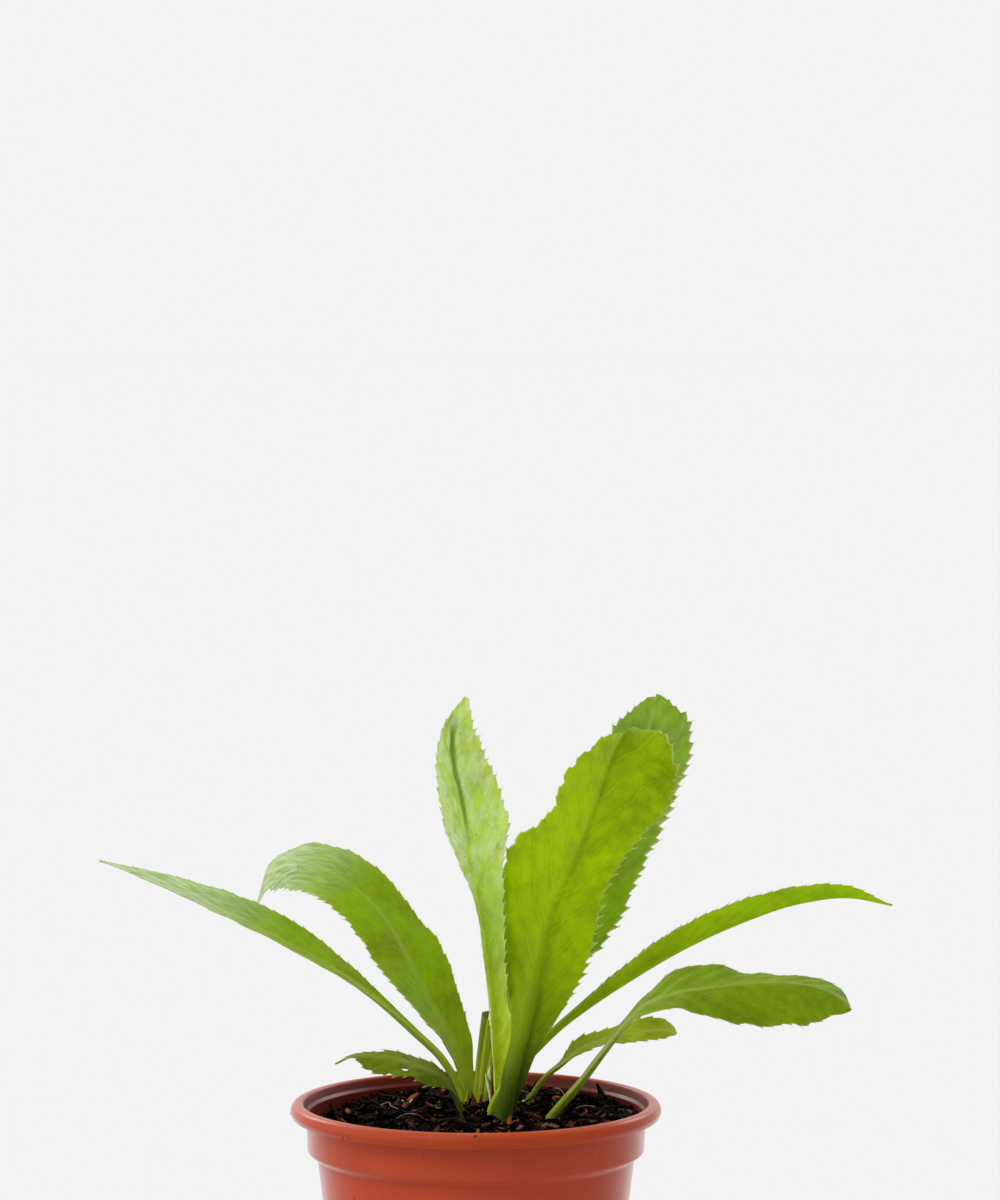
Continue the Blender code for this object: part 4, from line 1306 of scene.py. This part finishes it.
def leaf_grid(leaf):
    """The whole upper face, from the left margin over the rib to the right margin."""
    at, teeth, pitch = leaf_rows(leaf)
    ridge = RIDGE_TIP + (RIDGE - RIDGE_TIP) * (1 - at / leaf.length) ** RIDGE_TAPER
    halves = [half_grid(leaf, side, at, teeth, pitch, ridge) for side in (1, -1)]
    points, reach, across, share = [
        np.concatenate([left[:, ::-1], right[:, 1:]], axis=1) for left, right in zip(*halves)]
    columns = reach.shape[1] // 2
    reach = reach * np.where(np.arange(reach.shape[1]) <= columns, 1, -1)
    return at, points, reach, across, share, ridge


# %% [markdown]
# At each tooth's point stands a short spine, a small cone that points forward and out. It is made
# of two rings of four points and a tip, and all the spines of a leaf are made at once.

# %% Spines
# A spine's radius, its length on no tooth and how much longer on a full one, the room left free
# at the tip, and the column of the grid that shows which way the leaf runs
SPINE_RADIUS = 0.16
SPINE_LENGTHS = (0.35, 0.9)
SPINE_END = 2.0
FORWARD_COLUMN = 8
# How deep its foot sits in the leaf, where its middle ring is and how wide, as shares, how much
# forward and out count in its direction, and how unevenly the spines have grown
SPINE_FOOT = 0.35
SPINE_MIDDLE = (0.45, 0.55)
SPINE_WAY = (0.75, 0.65)
SPINE_UNEVEN = (0.7, 1.2)


def spines(roots, ways, normals, lengths):
    """Closed cones from roots along ways: two square rings and a tip for each."""
    side = unit(np.cross(ways, normals))
    ring = np.stack([side, normals, -side, -normals], axis=1)
    thick = (SPINE_RADIUS * np.clip(lengths, 0.5, 1.2))[:, None, None]
    foot = roots[:, None] - SPINE_FOOT * ways[:, None] + thick * ring
    further, thinner = SPINE_MIDDLE
    middle = roots[:, None] + (further * lengths)[:, None, None] * ways[:, None] + thinner * thick * ring
    tip = roots + lengths[:, None] * ways
    points = np.concatenate([foot, middle, tip[:, None]], axis=1)
    quads = np.array([(0, 1, 5, 4), (1, 2, 6, 5), (2, 3, 7, 6), (3, 0, 4, 7), (3, 2, 1, 0)])
    fans = np.array([(4, 5, 8), (5, 6, 8), (6, 7, 8), (7, 4, 8)])
    shift = np.arange(len(roots))[:, None, None] * points.shape[1]
    return points.reshape(-1, 3), (quads + shift).reshape(-1, 4), (fans + shift).reshape(-1, 3)


def leaf_spines(leaf, at, points, normals, share):
    """Spines for every tooth of both margins, pointing forward and out.

    Out is the way to the margin's point from the point three columns further in.
    """
    whole = leaf.passed[-1]
    turns = np.interp(at, leaf.walk, leaf.passed) / whole * round(whole / TOOTH_PITCH)
    peaks = np.flatnonzero((np.abs(turns % 1 - TOOTH_PEAK) < 0.01) & (at < leaf.length - SPINE_END))
    after = np.minimum(peaks + 1, len(at) - 1)
    forward = unit(points[after, FORWARD_COLUMN] - points[peaks - 1, FORWARD_COLUMN])
    parts = []
    for column, inner in ((0, 3), (-1, -4)):
        root = points[peaks, column]
        outward = unit(root - points[peaks, inner])
        way = unit(SPINE_WAY[0] * forward + SPINE_WAY[1] * outward)
        grown = share[peaks, column] * leaf.draw.uniform(*SPINE_UNEVEN, len(peaks))
        length = SPINE_LENGTHS[0] + SPINE_LENGTHS[1] * grown
        parts.append(spines(root, way, normals[peaks, column], length))
    return joined(parts)


# %% [markdown]
# ## Putting a leaf together
#
# The lower face is the upper one moved along its normals by the leaf's depth. Two sets of values
# are stored for the finish: the place on the leaf (along, out and across), and the skin (1 on the
# upper face, the share of a tooth, and a blemish where the leaf is torn or brown).

# %% Leaf builder
# Each tear: its place along and out from the rib, and its half sizes along and out, in mm
TEARS = {
    "leaf_left_small": [(35.0, 4.4, 1.2, 0.7)],
}


def leaf_depth(leaf, at, reach, across, ridge):
    """Thickness at each point: the blade, thinner at the margin, with its side veins and rib."""
    thick = RIB_TIP + (leaf.rib - RIB_TIP) * (1 - at / leaf.length) ** RIB_TAPER
    blade = BLADE + STALK_EXTRA * (1 - (at - leaf.start * 0.6) / STALK_FADE).clip(0, 1)
    bell = (1 - (reach / (RIDGE_FOOT * ridge)[:, None]) ** 2).clip(0, 1)
    turns = leaf.vein_turns(at[:, None], np.abs(reach))
    on_vein = np.exp(-((turns - np.round(turns)) * leaf.spacing / VEIN_WIDTH) ** 2)
    wide = (reach.max(axis=1) / 8).clip(0, 1)[:, None]
    vein = VEIN_DEPTH * on_vein * np.sin(np.pi * across.clip(0, 1)) * wide
    depth = blade[:, None] * (1 - MARGIN_THINNING * across.clip(0, 1) ** 6) + vein
    return depth + (thick - blade)[:, None] * bell


def torn_places(name, at, reach):
    """Which cells of a leaf's grid are solid, and how brown its points are round the tears."""
    solid = np.ones((reach.shape[0] - 1, reach.shape[1] - 1), dtype=bool)
    blemish = np.zeros(reach.shape)
    for place_along, place_out, half_along, half_out in TEARS.get(name, []):
        gap = np.hypot((at[:, None] - place_along) / half_along, (reach - place_out) / half_out)
        solid &= gap[:-1, :-1] > 1
        blemish = np.maximum(blemish, 0.8 * (1.9 - gap).clip(0, 1))
    return solid, blemish


def build_leaf(name):
    """One leaf as a closed shell with its teeth, rib, tears and spines."""
    leaf = Leaf(name)
    at, upper, reach, across, share, ridge = leaf_grid(leaf)
    solid, blemish = torn_places(name, at, reach)
    shell = thin_shell(upper, leaf_depth(leaf, at, reach, across, ridge)[..., None], solid)
    cones = leaf_spines(leaf, at, upper, grid_normals(upper), share)
    where = np.stack([at[:, None] + 0 * reach, reach, across], axis=-1).reshape(-1, 3)
    skins = [np.stack([0 * share + face, share, blemish], axis=-1).reshape(-1, 3) for face in (1, 0)]
    spine_place = np.tile([leaf.length, 10.0, 1.0], (len(cones[0]), 1))
    spine_skin = np.tile([1.0, 2.0, 0.0], (len(cones[0]), 1))
    return make_piece(name + "_blade", *joined([shell, cones]), {
        "leaf_place": np.concatenate([where, where, spine_place]),
        "leaf_skin": np.concatenate([*skins, spine_skin])})


blades = {name: build_leaf(name) for name in LEAVES}

# %% [markdown]
# ## Leaf finish
#
# A leaf is a thin green filter: some light bounces off, and some comes through from behind, more
# yellow than it went in. So the finish is a Principled shader mixed with a Translucent one. Both
# read the values stored on the points. Side veins leave the rib at their spacing and slope, and
# a net of fine veins fills the gaps.

# %% Leaf veins
VEIN_NET_SCALE = 420


def leaf_veins(wire, along, reach, across, slope, spacing, waver):
    """Side veins, the strips beside them, and all veins together, as masks.

    A side vein runs where (along - slope * reach - curve * reach squared) / spacing is whole.
    """
    turns = (along - reach * slope - reach * reach * VEIN_CURVE) / spacing + waver
    off = abs(turns.fraction() - 0.5)
    side_vein = off.step(0.43, 0.49) * across.step(1.0, 0.7)
    beside = off.step(0.26, 0.40) * across.step(1.0, 0.7)
    thin_vein = abs((turns * 3).fraction() - 0.5).step(0.42, 0.49) * across.step(1.0, 0.75)
    net = wire.node("TexVoronoi", {"feature": "DISTANCE_TO_EDGE"},
                    {"Vector": wire.own_place(), "Scale": VEIN_NET_SCALE}).step(0.10, 0.02)
    return side_vein, beside, side_vein * 0.9 + thin_vein * 0.3 + net * 0.3


# %% [markdown]
# A look is one set of numbers for this finish. The upper face is cooler and duller than the lower
# one, the blade is mottled, with painted light and shade at its foot and its tip, paler on its
# veins and painted darker in the strips beside them. The stalk and the margin have their own
# colours, but the broad leaf's dark stalk is painted shade and the upright leaf's pale stalk is
# painted light. The spines are cream, and small dark specks are dirt. Some looks have more: a
# painted silky shine on the upright leaf, painted shade in its crease, flank the shaded side of
# the broad leaf's rib, and a painted grey sheen in streaks near the tips at the left.

# %% Leaf paints
DRY = (0.10, 0.035, 0.008)
CREAM = (0.80, 0.74, 0.42)
PAINTED_SHINE_SILVER = (0.84, 0.95, 0.66)
TIP_SHEEN_GREY = (0.80, 0.90, 0.72)
CREASE_SHADE = (0.18, 0.28, 0.006)
DIRT = (0.03, 0.025, 0.006)


def leaf_paint(name, upper, under, through, stalk, rib, edge, see_through=0.4, slope=1.3, spacing=9.0,
               tip_sheen=0.0, painted_shine=0.0, dirt=0.02, mottle=0.3, valley=0.0, flank=0.0, foot=0.8, head=1.0,
               thick=0.15, stalk_end=42, sheen=0.2, bump=0.0004):
    """A leaf's finish from its colours, veins, mottling, painted light and shade, a painted shine, a painted
    crease shade, a painted tip sheen and dirt.
    """
    material, wire, shader = new_paint(name)
    along, out, across = wire.stored("leaf_place").parts()
    face, tooth, blemish = wire.stored("leaf_skin").parts()
    reach = abs(out)
    cloud = wire.noise(75, 4)
    patch = wire.noise(260, 4, roughness=0.7)
    side_vein, beside, veins = leaf_veins(wire, along, reach, across, slope, spacing,
                                          cloud * 0.8 + patch * 0.25)
    on_rib = reach.step(along.step(10, 105, 2.7, 1.3), along.step(10, 105, 1.5, 0.5))
    margin = across.step(0.955, 0.995) * along.step(20, 45)

    # Random mottle, times painted shade: darker at the foot and at the tip where foot and head are below 1,
    # lighter where they are above 1, and darker in the strips beside the side veins.
    mottle_and_shade = 1 + mottle * (0.45 - cloud.step(0.40, 0.68) * 0.6 - patch.step(0.35, 0.75) * 0.65)
    mottle_and_shade = mottle_and_shade * along.step(18, 95, foot, 1.0) * along.step(100, 145, 1.0, head)
    mottle_and_shade = mottle_and_shade * (1 - (beside - side_vein) * 0.10)
    colour = wire.node("Mix", {"data_type": "RGBA"}, {0: face, 6: (*under, 1), 7: (*upper, 1)}, 2)
    colour = colour.scaled(mottle_and_shade)
    colour = colour.tint(veins * 0.45, colour.scaled(1.5))
    colour = colour.tint(on_rib * along.step(50, 110, 0.75, 0.55), rib)
    # Painted shine: pale silvery streaks of a silky reflection, beyond 70 mm along, stronger on the left
    # half.
    if painted_shine:
        gleam = wire.noise(300, 4, wire.stretched((1, 1, 0.4)), 0.6).step(0.40, 0.57, 0.18, 1.0)
        gleam = gleam * along.step(70, 100) * painted_shine
        colour = colour.tint(gleam * out.step(-6, 3, 0.45, 1.0), PAINTED_SHINE_SILVER)
    # The stalk's own colour, except that the broad leaf's dark stalk is painted shade and the upright leaf's
    # pale stalk is painted light.
    colour = colour.tint(along.step(stalk_end, 6) * 0.92, stalk)
    if flank:
        side = out.step(0.8, 2.2) * out.step(5.0, 2.8) * along.step(105, 60) * flank
        colour = colour.tint(side, colour.scaled(0.35))
    # Painted shade: a dark green band in the crease along the rib of the upright leaf.
    if valley:
        wide = along.step(100, 136, 0.4, 1.5) + cloud * 1.2
        shaded_crease = reach.step(wide, wide * 0.3) * along.step(98, 116) * along.step(152, 140) * face * valley
        colour = colour.tint(shaded_crease, CREASE_SHADE)
    # Painted sheen: pale grey streaks on the upper face towards the tip, as a grazing reflection.
    if tip_sheen:
        grain = wire.node("CombineXYZ", {}, {0: along * 0.14, 1: out * 0.8})
        streak = wire.noise(1, 4, grain, 0.65).step(0.38, 0.62, 0.3, 1.0)
        tip_sheen_mask = along.step(94, 140) * face * streak * (1 - veins * 0.4) * tip_sheen
        colour = colour.tint(tip_sheen_mask, TIP_SHEEN_GREY)
    colour = colour.tint(margin * 0.8, edge)
    colour = colour.tint(tooth.step(0.55, 1.6), CREAM)
    colour = colour.tint(blemish, DRY)
    specks = wire.specks(520, 0.20, dirt + along.step(62, 30) * dirt * 3) + wire.specks(160, 0.13, dirt * 0.6)
    colour = colour.tint(specks.step(0, 1) * 0.8, DIRT)
    relief = cloud * 1.2 + patch * 0.5 - veins * 0.8 + wire.noise(1500, 2) * 0.1
    dress(shader, colour, 0.40 + patch * 0.2 + veins * 0.08, (0.45, bump, relief), IOR=1.42,
          Specular_IOR_Level=0.14, Sheen_Weight=sheen, Sheen_Roughness=0.4)

    # The share let through follows the mottle and the painted shade as well.
    share = (1 + veins * 0.12) * (1 - on_rib * along.step(50, 110, 0.22, 0.10)) * (1 - blemish)
    share = share * along.step(8, 50, thick, 1.0) * see_through * mottle_and_shade * (1 - margin * 0.6)
    if valley:
        share = share * (1 - shaded_crease * 0.75) * (1 - gleam * 0.3)
    glow = wire.node("BsdfTranslucent", {}, {"Color": (*through, 1)})
    mixed = wire.node("MixShader", {}, {0: share, 1: Wire(wire.tree, shader.outputs[0]), 2: glow})
    feed(wire.tree.nodes["Material Output"], "Surface", mixed)
    return material


# %% Leaf looks
# foot and head scale the colour at the foot and at the tip: below 1 painted shade, above 1 painted light. The
# broad leaf's near-black stalk is painted shade, and the upright leaf's pale stalk is painted light.
LEAF_LOOKS = {
    "broad": dict(upper=(0.30, 0.43, 0.008), under=(0.30, 0.42, 0.001), through=(0.68, 0.87, 0.002),
                  stalk=(0.014, 0.042, 0.001), rib=(0.19, 0.28, 0.001), edge=(0.60, 0.68, 0.16),
                  see_through=0.52, slope=1.2, spacing=13.0, dirt=0.008, mottle=0.40, flank=0.5,
                  foot=0.62, head=0.77, sheen=0.05),
    "behind": dict(upper=(0.20, 0.32, 0.002), under=(0.28, 0.40, 0.003), through=(0.46, 0.66, 0.003),
                   stalk=(0.14, 0.20, 0.002), rib=(0.30, 0.42, 0.04), edge=(0.55, 0.62, 0.24),
                   see_through=0.40, slope=1.2, spacing=10.0, tip_sheen=0.10, dirt=0.01, mottle=0.55,
                   foot=0.62, sheen=0.08),
    "upright": dict(upper=(0.48, 0.62, 0.10), under=(0.34, 0.48, 0.02), through=(0.80, 0.98, 0.10),
                    stalk=(0.84, 0.91, 0.022), rib=(0.64, 0.75, 0.020), edge=(0.78, 0.84, 0.46),
                    see_through=0.45, slope=1.2, spacing=10.0, painted_shine=0.9, dirt=0.03, mottle=0.45,
                    valley=0.9, foot=1.1, head=0.93, thick=0.60, stalk_end=75, sheen=0.38,
                    bump=0.0014),
    "silvery": dict(upper=(0.23, 0.34, 0.002), under=(0.34, 0.43, 0.02), through=(0.56, 0.80, 0.003),
                    stalk=(0.29, 0.38, 0.002), rib=(0.31, 0.42, 0.04), edge=(0.46, 0.54, 0.10),
                    see_through=0.38, slope=2.2, spacing=7.0, tip_sheen=0.78, dirt=0.02, mottle=0.40,
                    foot=0.9, thick=0.3, sheen=0.06, bump=0.0006),
    "keeled": dict(upper=(0.30, 0.40, 0.004), under=(0.32, 0.47, 0.002), through=(0.66, 0.88, 0.002),
                   stalk=(0.30, 0.38, 0.002), rib=(0.34, 0.47, 0.003), edge=(0.44, 0.52, 0.04),
                   see_through=0.42, slope=2.0, spacing=9.0, dirt=0.01, mottle=0.3, sheen=0.10),
    "dark": dict(upper=(0.20, 0.30, 0.001), under=(0.26, 0.36, 0.003), through=(0.48, 0.70, 0.001),
                 stalk=(0.26, 0.33, 0.003), rib=(0.32, 0.38, 0.06), edge=(0.30, 0.34, 0.08),
                 see_through=0.36, slope=1.3, spacing=8.0, dirt=0.05, mottle=0.5, foot=1.0, thick=0.4,
                 sheen=0.18, bump=0.0009),
    "olive": dict(upper=(0.34, 0.42, 0.002), under=(0.34, 0.42, 0.002), through=(0.68, 0.78, 0.002),
                  stalk=(0.22, 0.27, 0.010), rib=(0.34, 0.41, 0.02), edge=(0.36, 0.34, 0.06),
                  see_through=0.38, slope=1.2, spacing=6.0, dirt=0.03, mottle=0.45, foot=1.0, sheen=0.04),
    "ragged": dict(upper=(0.16, 0.22, 0.001), under=(0.19, 0.25, 0.001), through=(0.40, 0.52, 0.001),
                   stalk=(0.036, 0.062, 0.001), rib=(0.20, 0.26, 0.01), edge=(0.24, 0.19, 0.04),
                   see_through=0.32, slope=1.2, spacing=6.0, dirt=0.05, mottle=0.5, foot=1.0, sheen=0.04),
}
# Each leaf: its look, and its slot in the part's record
LOOK_OF = {
    "leaf_left_long": ("silvery", "leaf"),
    "leaf_left_arch": ("silvery", "leaf"),
    "leaf_upright": ("upright", "leaf"),
    "leaf_broad": ("broad", "leaf"),
    "leaf_behind": ("behind", "leaf"),
    "leaf_right_long": ("keeled", "leaf"),
    "leaf_right_low": ("dark", "leaf_dark"),
    "leaf_right_small": ("olive", "leaf_dark"),
    "leaf_left_small": ("ragged", "leaf_dark"),
}
leaf_paints = {key: leaf_paint("leaf_" + key, **look) for key, look in LEAF_LOOKS.items()}
for name, (look, slot) in LOOK_OF.items():
    place(blades[name], leaf_paints[look], slot, name)
print("leaves finished")

# %% [markdown]
# ## Small growth
#
# One stalk has lost its blade and stands as a stub with a slanted, dried end. Beside it thin
# young shoots and pale buds push up, dark red scales of dead stalks cling to the foot, and
# scraps of old leaf lie on the bark. All but the scraps are bars along a curve. A scrap is a
# small bent grid, made a shell like the leaves.

# %% Stub, shoots, buds and scales
# Each: (x, y, z, radius) stations in mm
STUB = [(0.4, 20, 104, 2.0), (0.9, 20.2, 118, 1.7), (2.0, 20.6, 131, 1.45), (3.3, 21, 143.3, 1.25)]
CUT_SLANT = -0.25
BUDS = [
    [(5.3, 12.0, 111, 0.35), (4.7, 12.2, 115.5, 0.50), (3.8, 12.6, 119.5, 0.40), (3.2, 12.9, 122.5, 0.10)],
    [(4.9, 13.0, 120, 0.30), (4.5, 13.0, 122.5, 0.55), (4.7, 13.1, 124.0, 0.30), (4.9, 13.2, 125.2, 0.08)],
]
SCALES = [
    [(6.2, 11.6, 109, 0.9), (6.0, 11.9, 114, 0.8), (5.9, 12.1, 118, 0.5), (6.0, 12.3, 122, 0.10)],
    [(-0.2, 11.6, 108, 1.1), (-0.5, 11.7, 111.5, 1.0), (-1.0, 11.9, 114, 0.6), (-1.7, 12.1, 116.5, 0.10)],
    [(1.0, 12.6, 108, 0.8), (1.4, 12.6, 112, 0.6), (1.9, 12.8, 115.5, 0.12)],
]
SHOOTS = [
    [(1.2, 16.2, 108, 0.9), (1.9, 16.3, 117, 1.1), (2.9, 16.8, 127, 1.1), (4.3, 17.3, 141, 0.45)],
    [(3.0, 15.5, 108, 0.7), (3.6, 15.2, 116, 0.8), (4.6, 15.0, 124, 0.7), (5.6, 15.2, 132, 0.25)],
    [(-4.0, 13.2, 108, 0.6), (-3.4, 12.8, 113, 0.7), (-3.0, 12.4, 116, 0.2), (-2.8, 12.2, 117.5, 0.1)],
]

points, quads, fans = rod_along(STUB, 60, 24, grooves=0.05)
end_x, _, end_z, end_radius = STUB[-1]
slant = np.clip((points[:, 2] - (end_z - 3 * end_radius)) / (3 * end_radius), 0, 1)
points[:, 2] -= CUT_SLANT * (points[:, 0] - end_x) * slant
stub = make_piece("stalk_stub", points, quads, fans)
buds = make_piece("leaf_buds", *joined([rod_along(route, 16, 10) for route in BUDS]))
scales = make_piece("dead_scales", *joined([rod_along(route, 16, 8) for route in SCALES]))
shoots = make_piece("young_shoots", *joined([rod_along(route, 40, 12, grooves=0.06) for route in SHOOTS]))

# %% Scraps
# Each: x, y, height over the soil, bearing in degrees, length, width and curl, in mm
SCRAPS = {
    "yellow": [(-24.7, 23.6, 1.7, 10, 3.8, 2.4, 0.9), (16.2, 12.6, 1.9, 75, 3.4, 2.0, 0.8)],
    "green": [(-13.1, 8.5, 1.6, -20, 2.8, 1.9, 0.7)],
}
SCRAP_THICKNESS = 0.15


def scrap(x, y, above, bearing, length, width, curl):
    """A torn bit of leaf: an oval grid, curled along its length and cupped across."""
    u, v = np.meshgrid(np.linspace(-1, 1, 13), np.linspace(-1, 1, 9), indexing="ij")
    across = v * np.sqrt(1.08 - u**2) * (1 + 0.2 * np.sin(5 * u + 2))
    turn = math.radians(bearing)
    local_x, local_y = u * length / 2, across * width / 2
    z = soil_height(x, y) + above + curl * (u**2 - 0.4 * v**2)
    upper = np.stack([x + local_x * math.cos(turn) - local_y * math.sin(turn),
                      y + local_x * math.sin(turn) + local_y * math.cos(turn), z + 0 * u], axis=-1)
    return thin_shell(upper[:, ::-1], SCRAP_THICKNESS)


scraps = {colour: make_piece("leaf_scraps_" + colour, *joined([scrap(*one) for one in rows]))
          for colour, rows in SCRAPS.items()}

# %% [markdown]
# At its foot the broad leaf's stalk widens into a sheath, a thin wing that wraps towards the
# crown. It is a strip between two curves, one on the stalk and one along its free edge.

# %% Sheath
SHEATH_STALK = [(8.8, -10.2, 108), (9.7, -10.4, 114), (10.8, -10.6, 121), (12.3, -10.8, 129)]
SHEATH_EDGE = [(6.6, -8.9, 107), (6.6, -9.1, 112.5), (8.5, -9.8, 120.5), (12.0, -10.7, 128.6)]
SHEATH_THICKNESS = 0.5
SHEATH_BULGE = 0.5


def sheath_strip(rows=24, columns=12):
    """A closed strip between two curves, bulging by sin(pi v) towards the eye, as a shell."""
    lines = []
    for line in (SHEATH_STALK, SHEATH_EDGE):
        line = np.array(line, dtype=float)
        knots = knots_of(line)
        lines.append(smooth_values(knots, line, np.linspace(0, knots[-1], rows)))
    v = np.linspace(0, 1, columns)[None, :, None]
    upper = lines[0][:, None] * (1 - v) + lines[1][:, None] * v
    upper[..., 1] -= SHEATH_BULGE * np.sin(np.pi * v[..., 0]) * np.linspace(1, 0, rows)[:, None]
    return thin_shell(upper, SHEATH_THICKNESS)


sheath = make_piece("leaf_sheath", *sheath_strip())

# %% [markdown]
# The stub is green, with a dull, dried end. The shoots and the sheath are green, the scales dark
# red, the buds nearly white, because they grew in the dark, and the scraps yellow or green. One
# finish between two colours serves them all.

# %% Small growth finishes
STUB_TOP = (0.14, 0.21, 0.003)
STUB_DRY = (0.10, 0.12, 0.012)


def growth_paint(name, low, high, cut=False):
    """Soft plant tissue between two colours. A cut stalk is duller near its top and dry at it."""
    material, wire, shader = new_paint(name)
    grain = wire.noise(600, 4, roughness=0.6)
    colour = grain.ramp((0.3, low), (0.7, high))
    if cut:
        height = wire.own_place().parts()[2]
        colour = colour.tint(height.step(0.117, 0.132) * 0.8, STUB_TOP)
        colour = colour.tint(height.step(0.1400, 0.1435), STUB_DRY)
    dress(shader, colour, 0.4 + grain * 0.25, (0.3, 0.0003, grain), Specular_IOR_Level=0.12,
          Sheen_Weight=0.05)
    return material


# Each piece: its finish, its slot and the two colours of its tissue
GROWTH = [
    (shoots, "shoot_green", "leaf", (0.26, 0.33, 0.003), (0.34, 0.40, 0.006)),
    (sheath, "sheath_green", "leaf", (0.05, 0.11, 0.001), (0.08, 0.17, 0.001)),
    (scales, "dead_scale", "leaf_dark", (0.045, 0.006, 0.005), (0.11, 0.016, 0.010)),
    (buds, "pale_bud", "leaf", (0.55, 0.62, 0.30), (0.80, 0.82, 0.62)),
    (scraps["yellow"], "yellow_scrap", "leaf", (0.45, 0.38, 0.03), (0.72, 0.62, 0.10)),
    (scraps["green"], "green_scrap", "leaf", (0.05, 0.16, 0.01), (0.10, 0.28, 0.02)),
]

stub_green = growth_paint("stub_green", (0.26, 0.34, 0.006), (0.36, 0.44, 0.012), cut=True)
place(stub, stub_green, "stalk", "stalk_cut")
for piece, finish, slot, low, high in GROWTH:
    place(piece, growth_paint(finish, low, high), slot)
print("small growth finished")

# %% [markdown]
# ## Root crowns
#
# The crowns that the stalks grow from are buried in the soil, and no view shows them. They keep
# their solids and get a pale, ringed root finish.

# %% Root crowns
ROOT_TONES = (0.3, (0.42, 0.30, 0.17)), (0.7, (0.62, 0.50, 0.33))
RING_BROWN = (0.20, 0.12, 0.06)
RINGS_PER_METRE = 420


def root_paint():
    """Pale root skin with darker rings every few millimetres of height."""
    material, wire, shader = new_paint("root_skin")
    height = wire.own_place().parts()[2]
    cloud = wire.noise(180, 4)
    ring = abs((height * RINGS_PER_METRE + cloud).fraction() - 0.5).step(0.3, 0.5)
    colour = cloud.ramp(*ROOT_TONES).tint(ring * 0.6, RING_BROWN)
    dress(shader, colour, 0.6 + cloud * 0.2, (0.4, 0.0005, 1 - ring))
    return material


root_skin = root_paint()
for name in ("root_crown_front", "root_crown_back"):
    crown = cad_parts[name]
    crown.data.materials.clear()
    crown.data.materials.append(root_skin)
print("crowns finished")
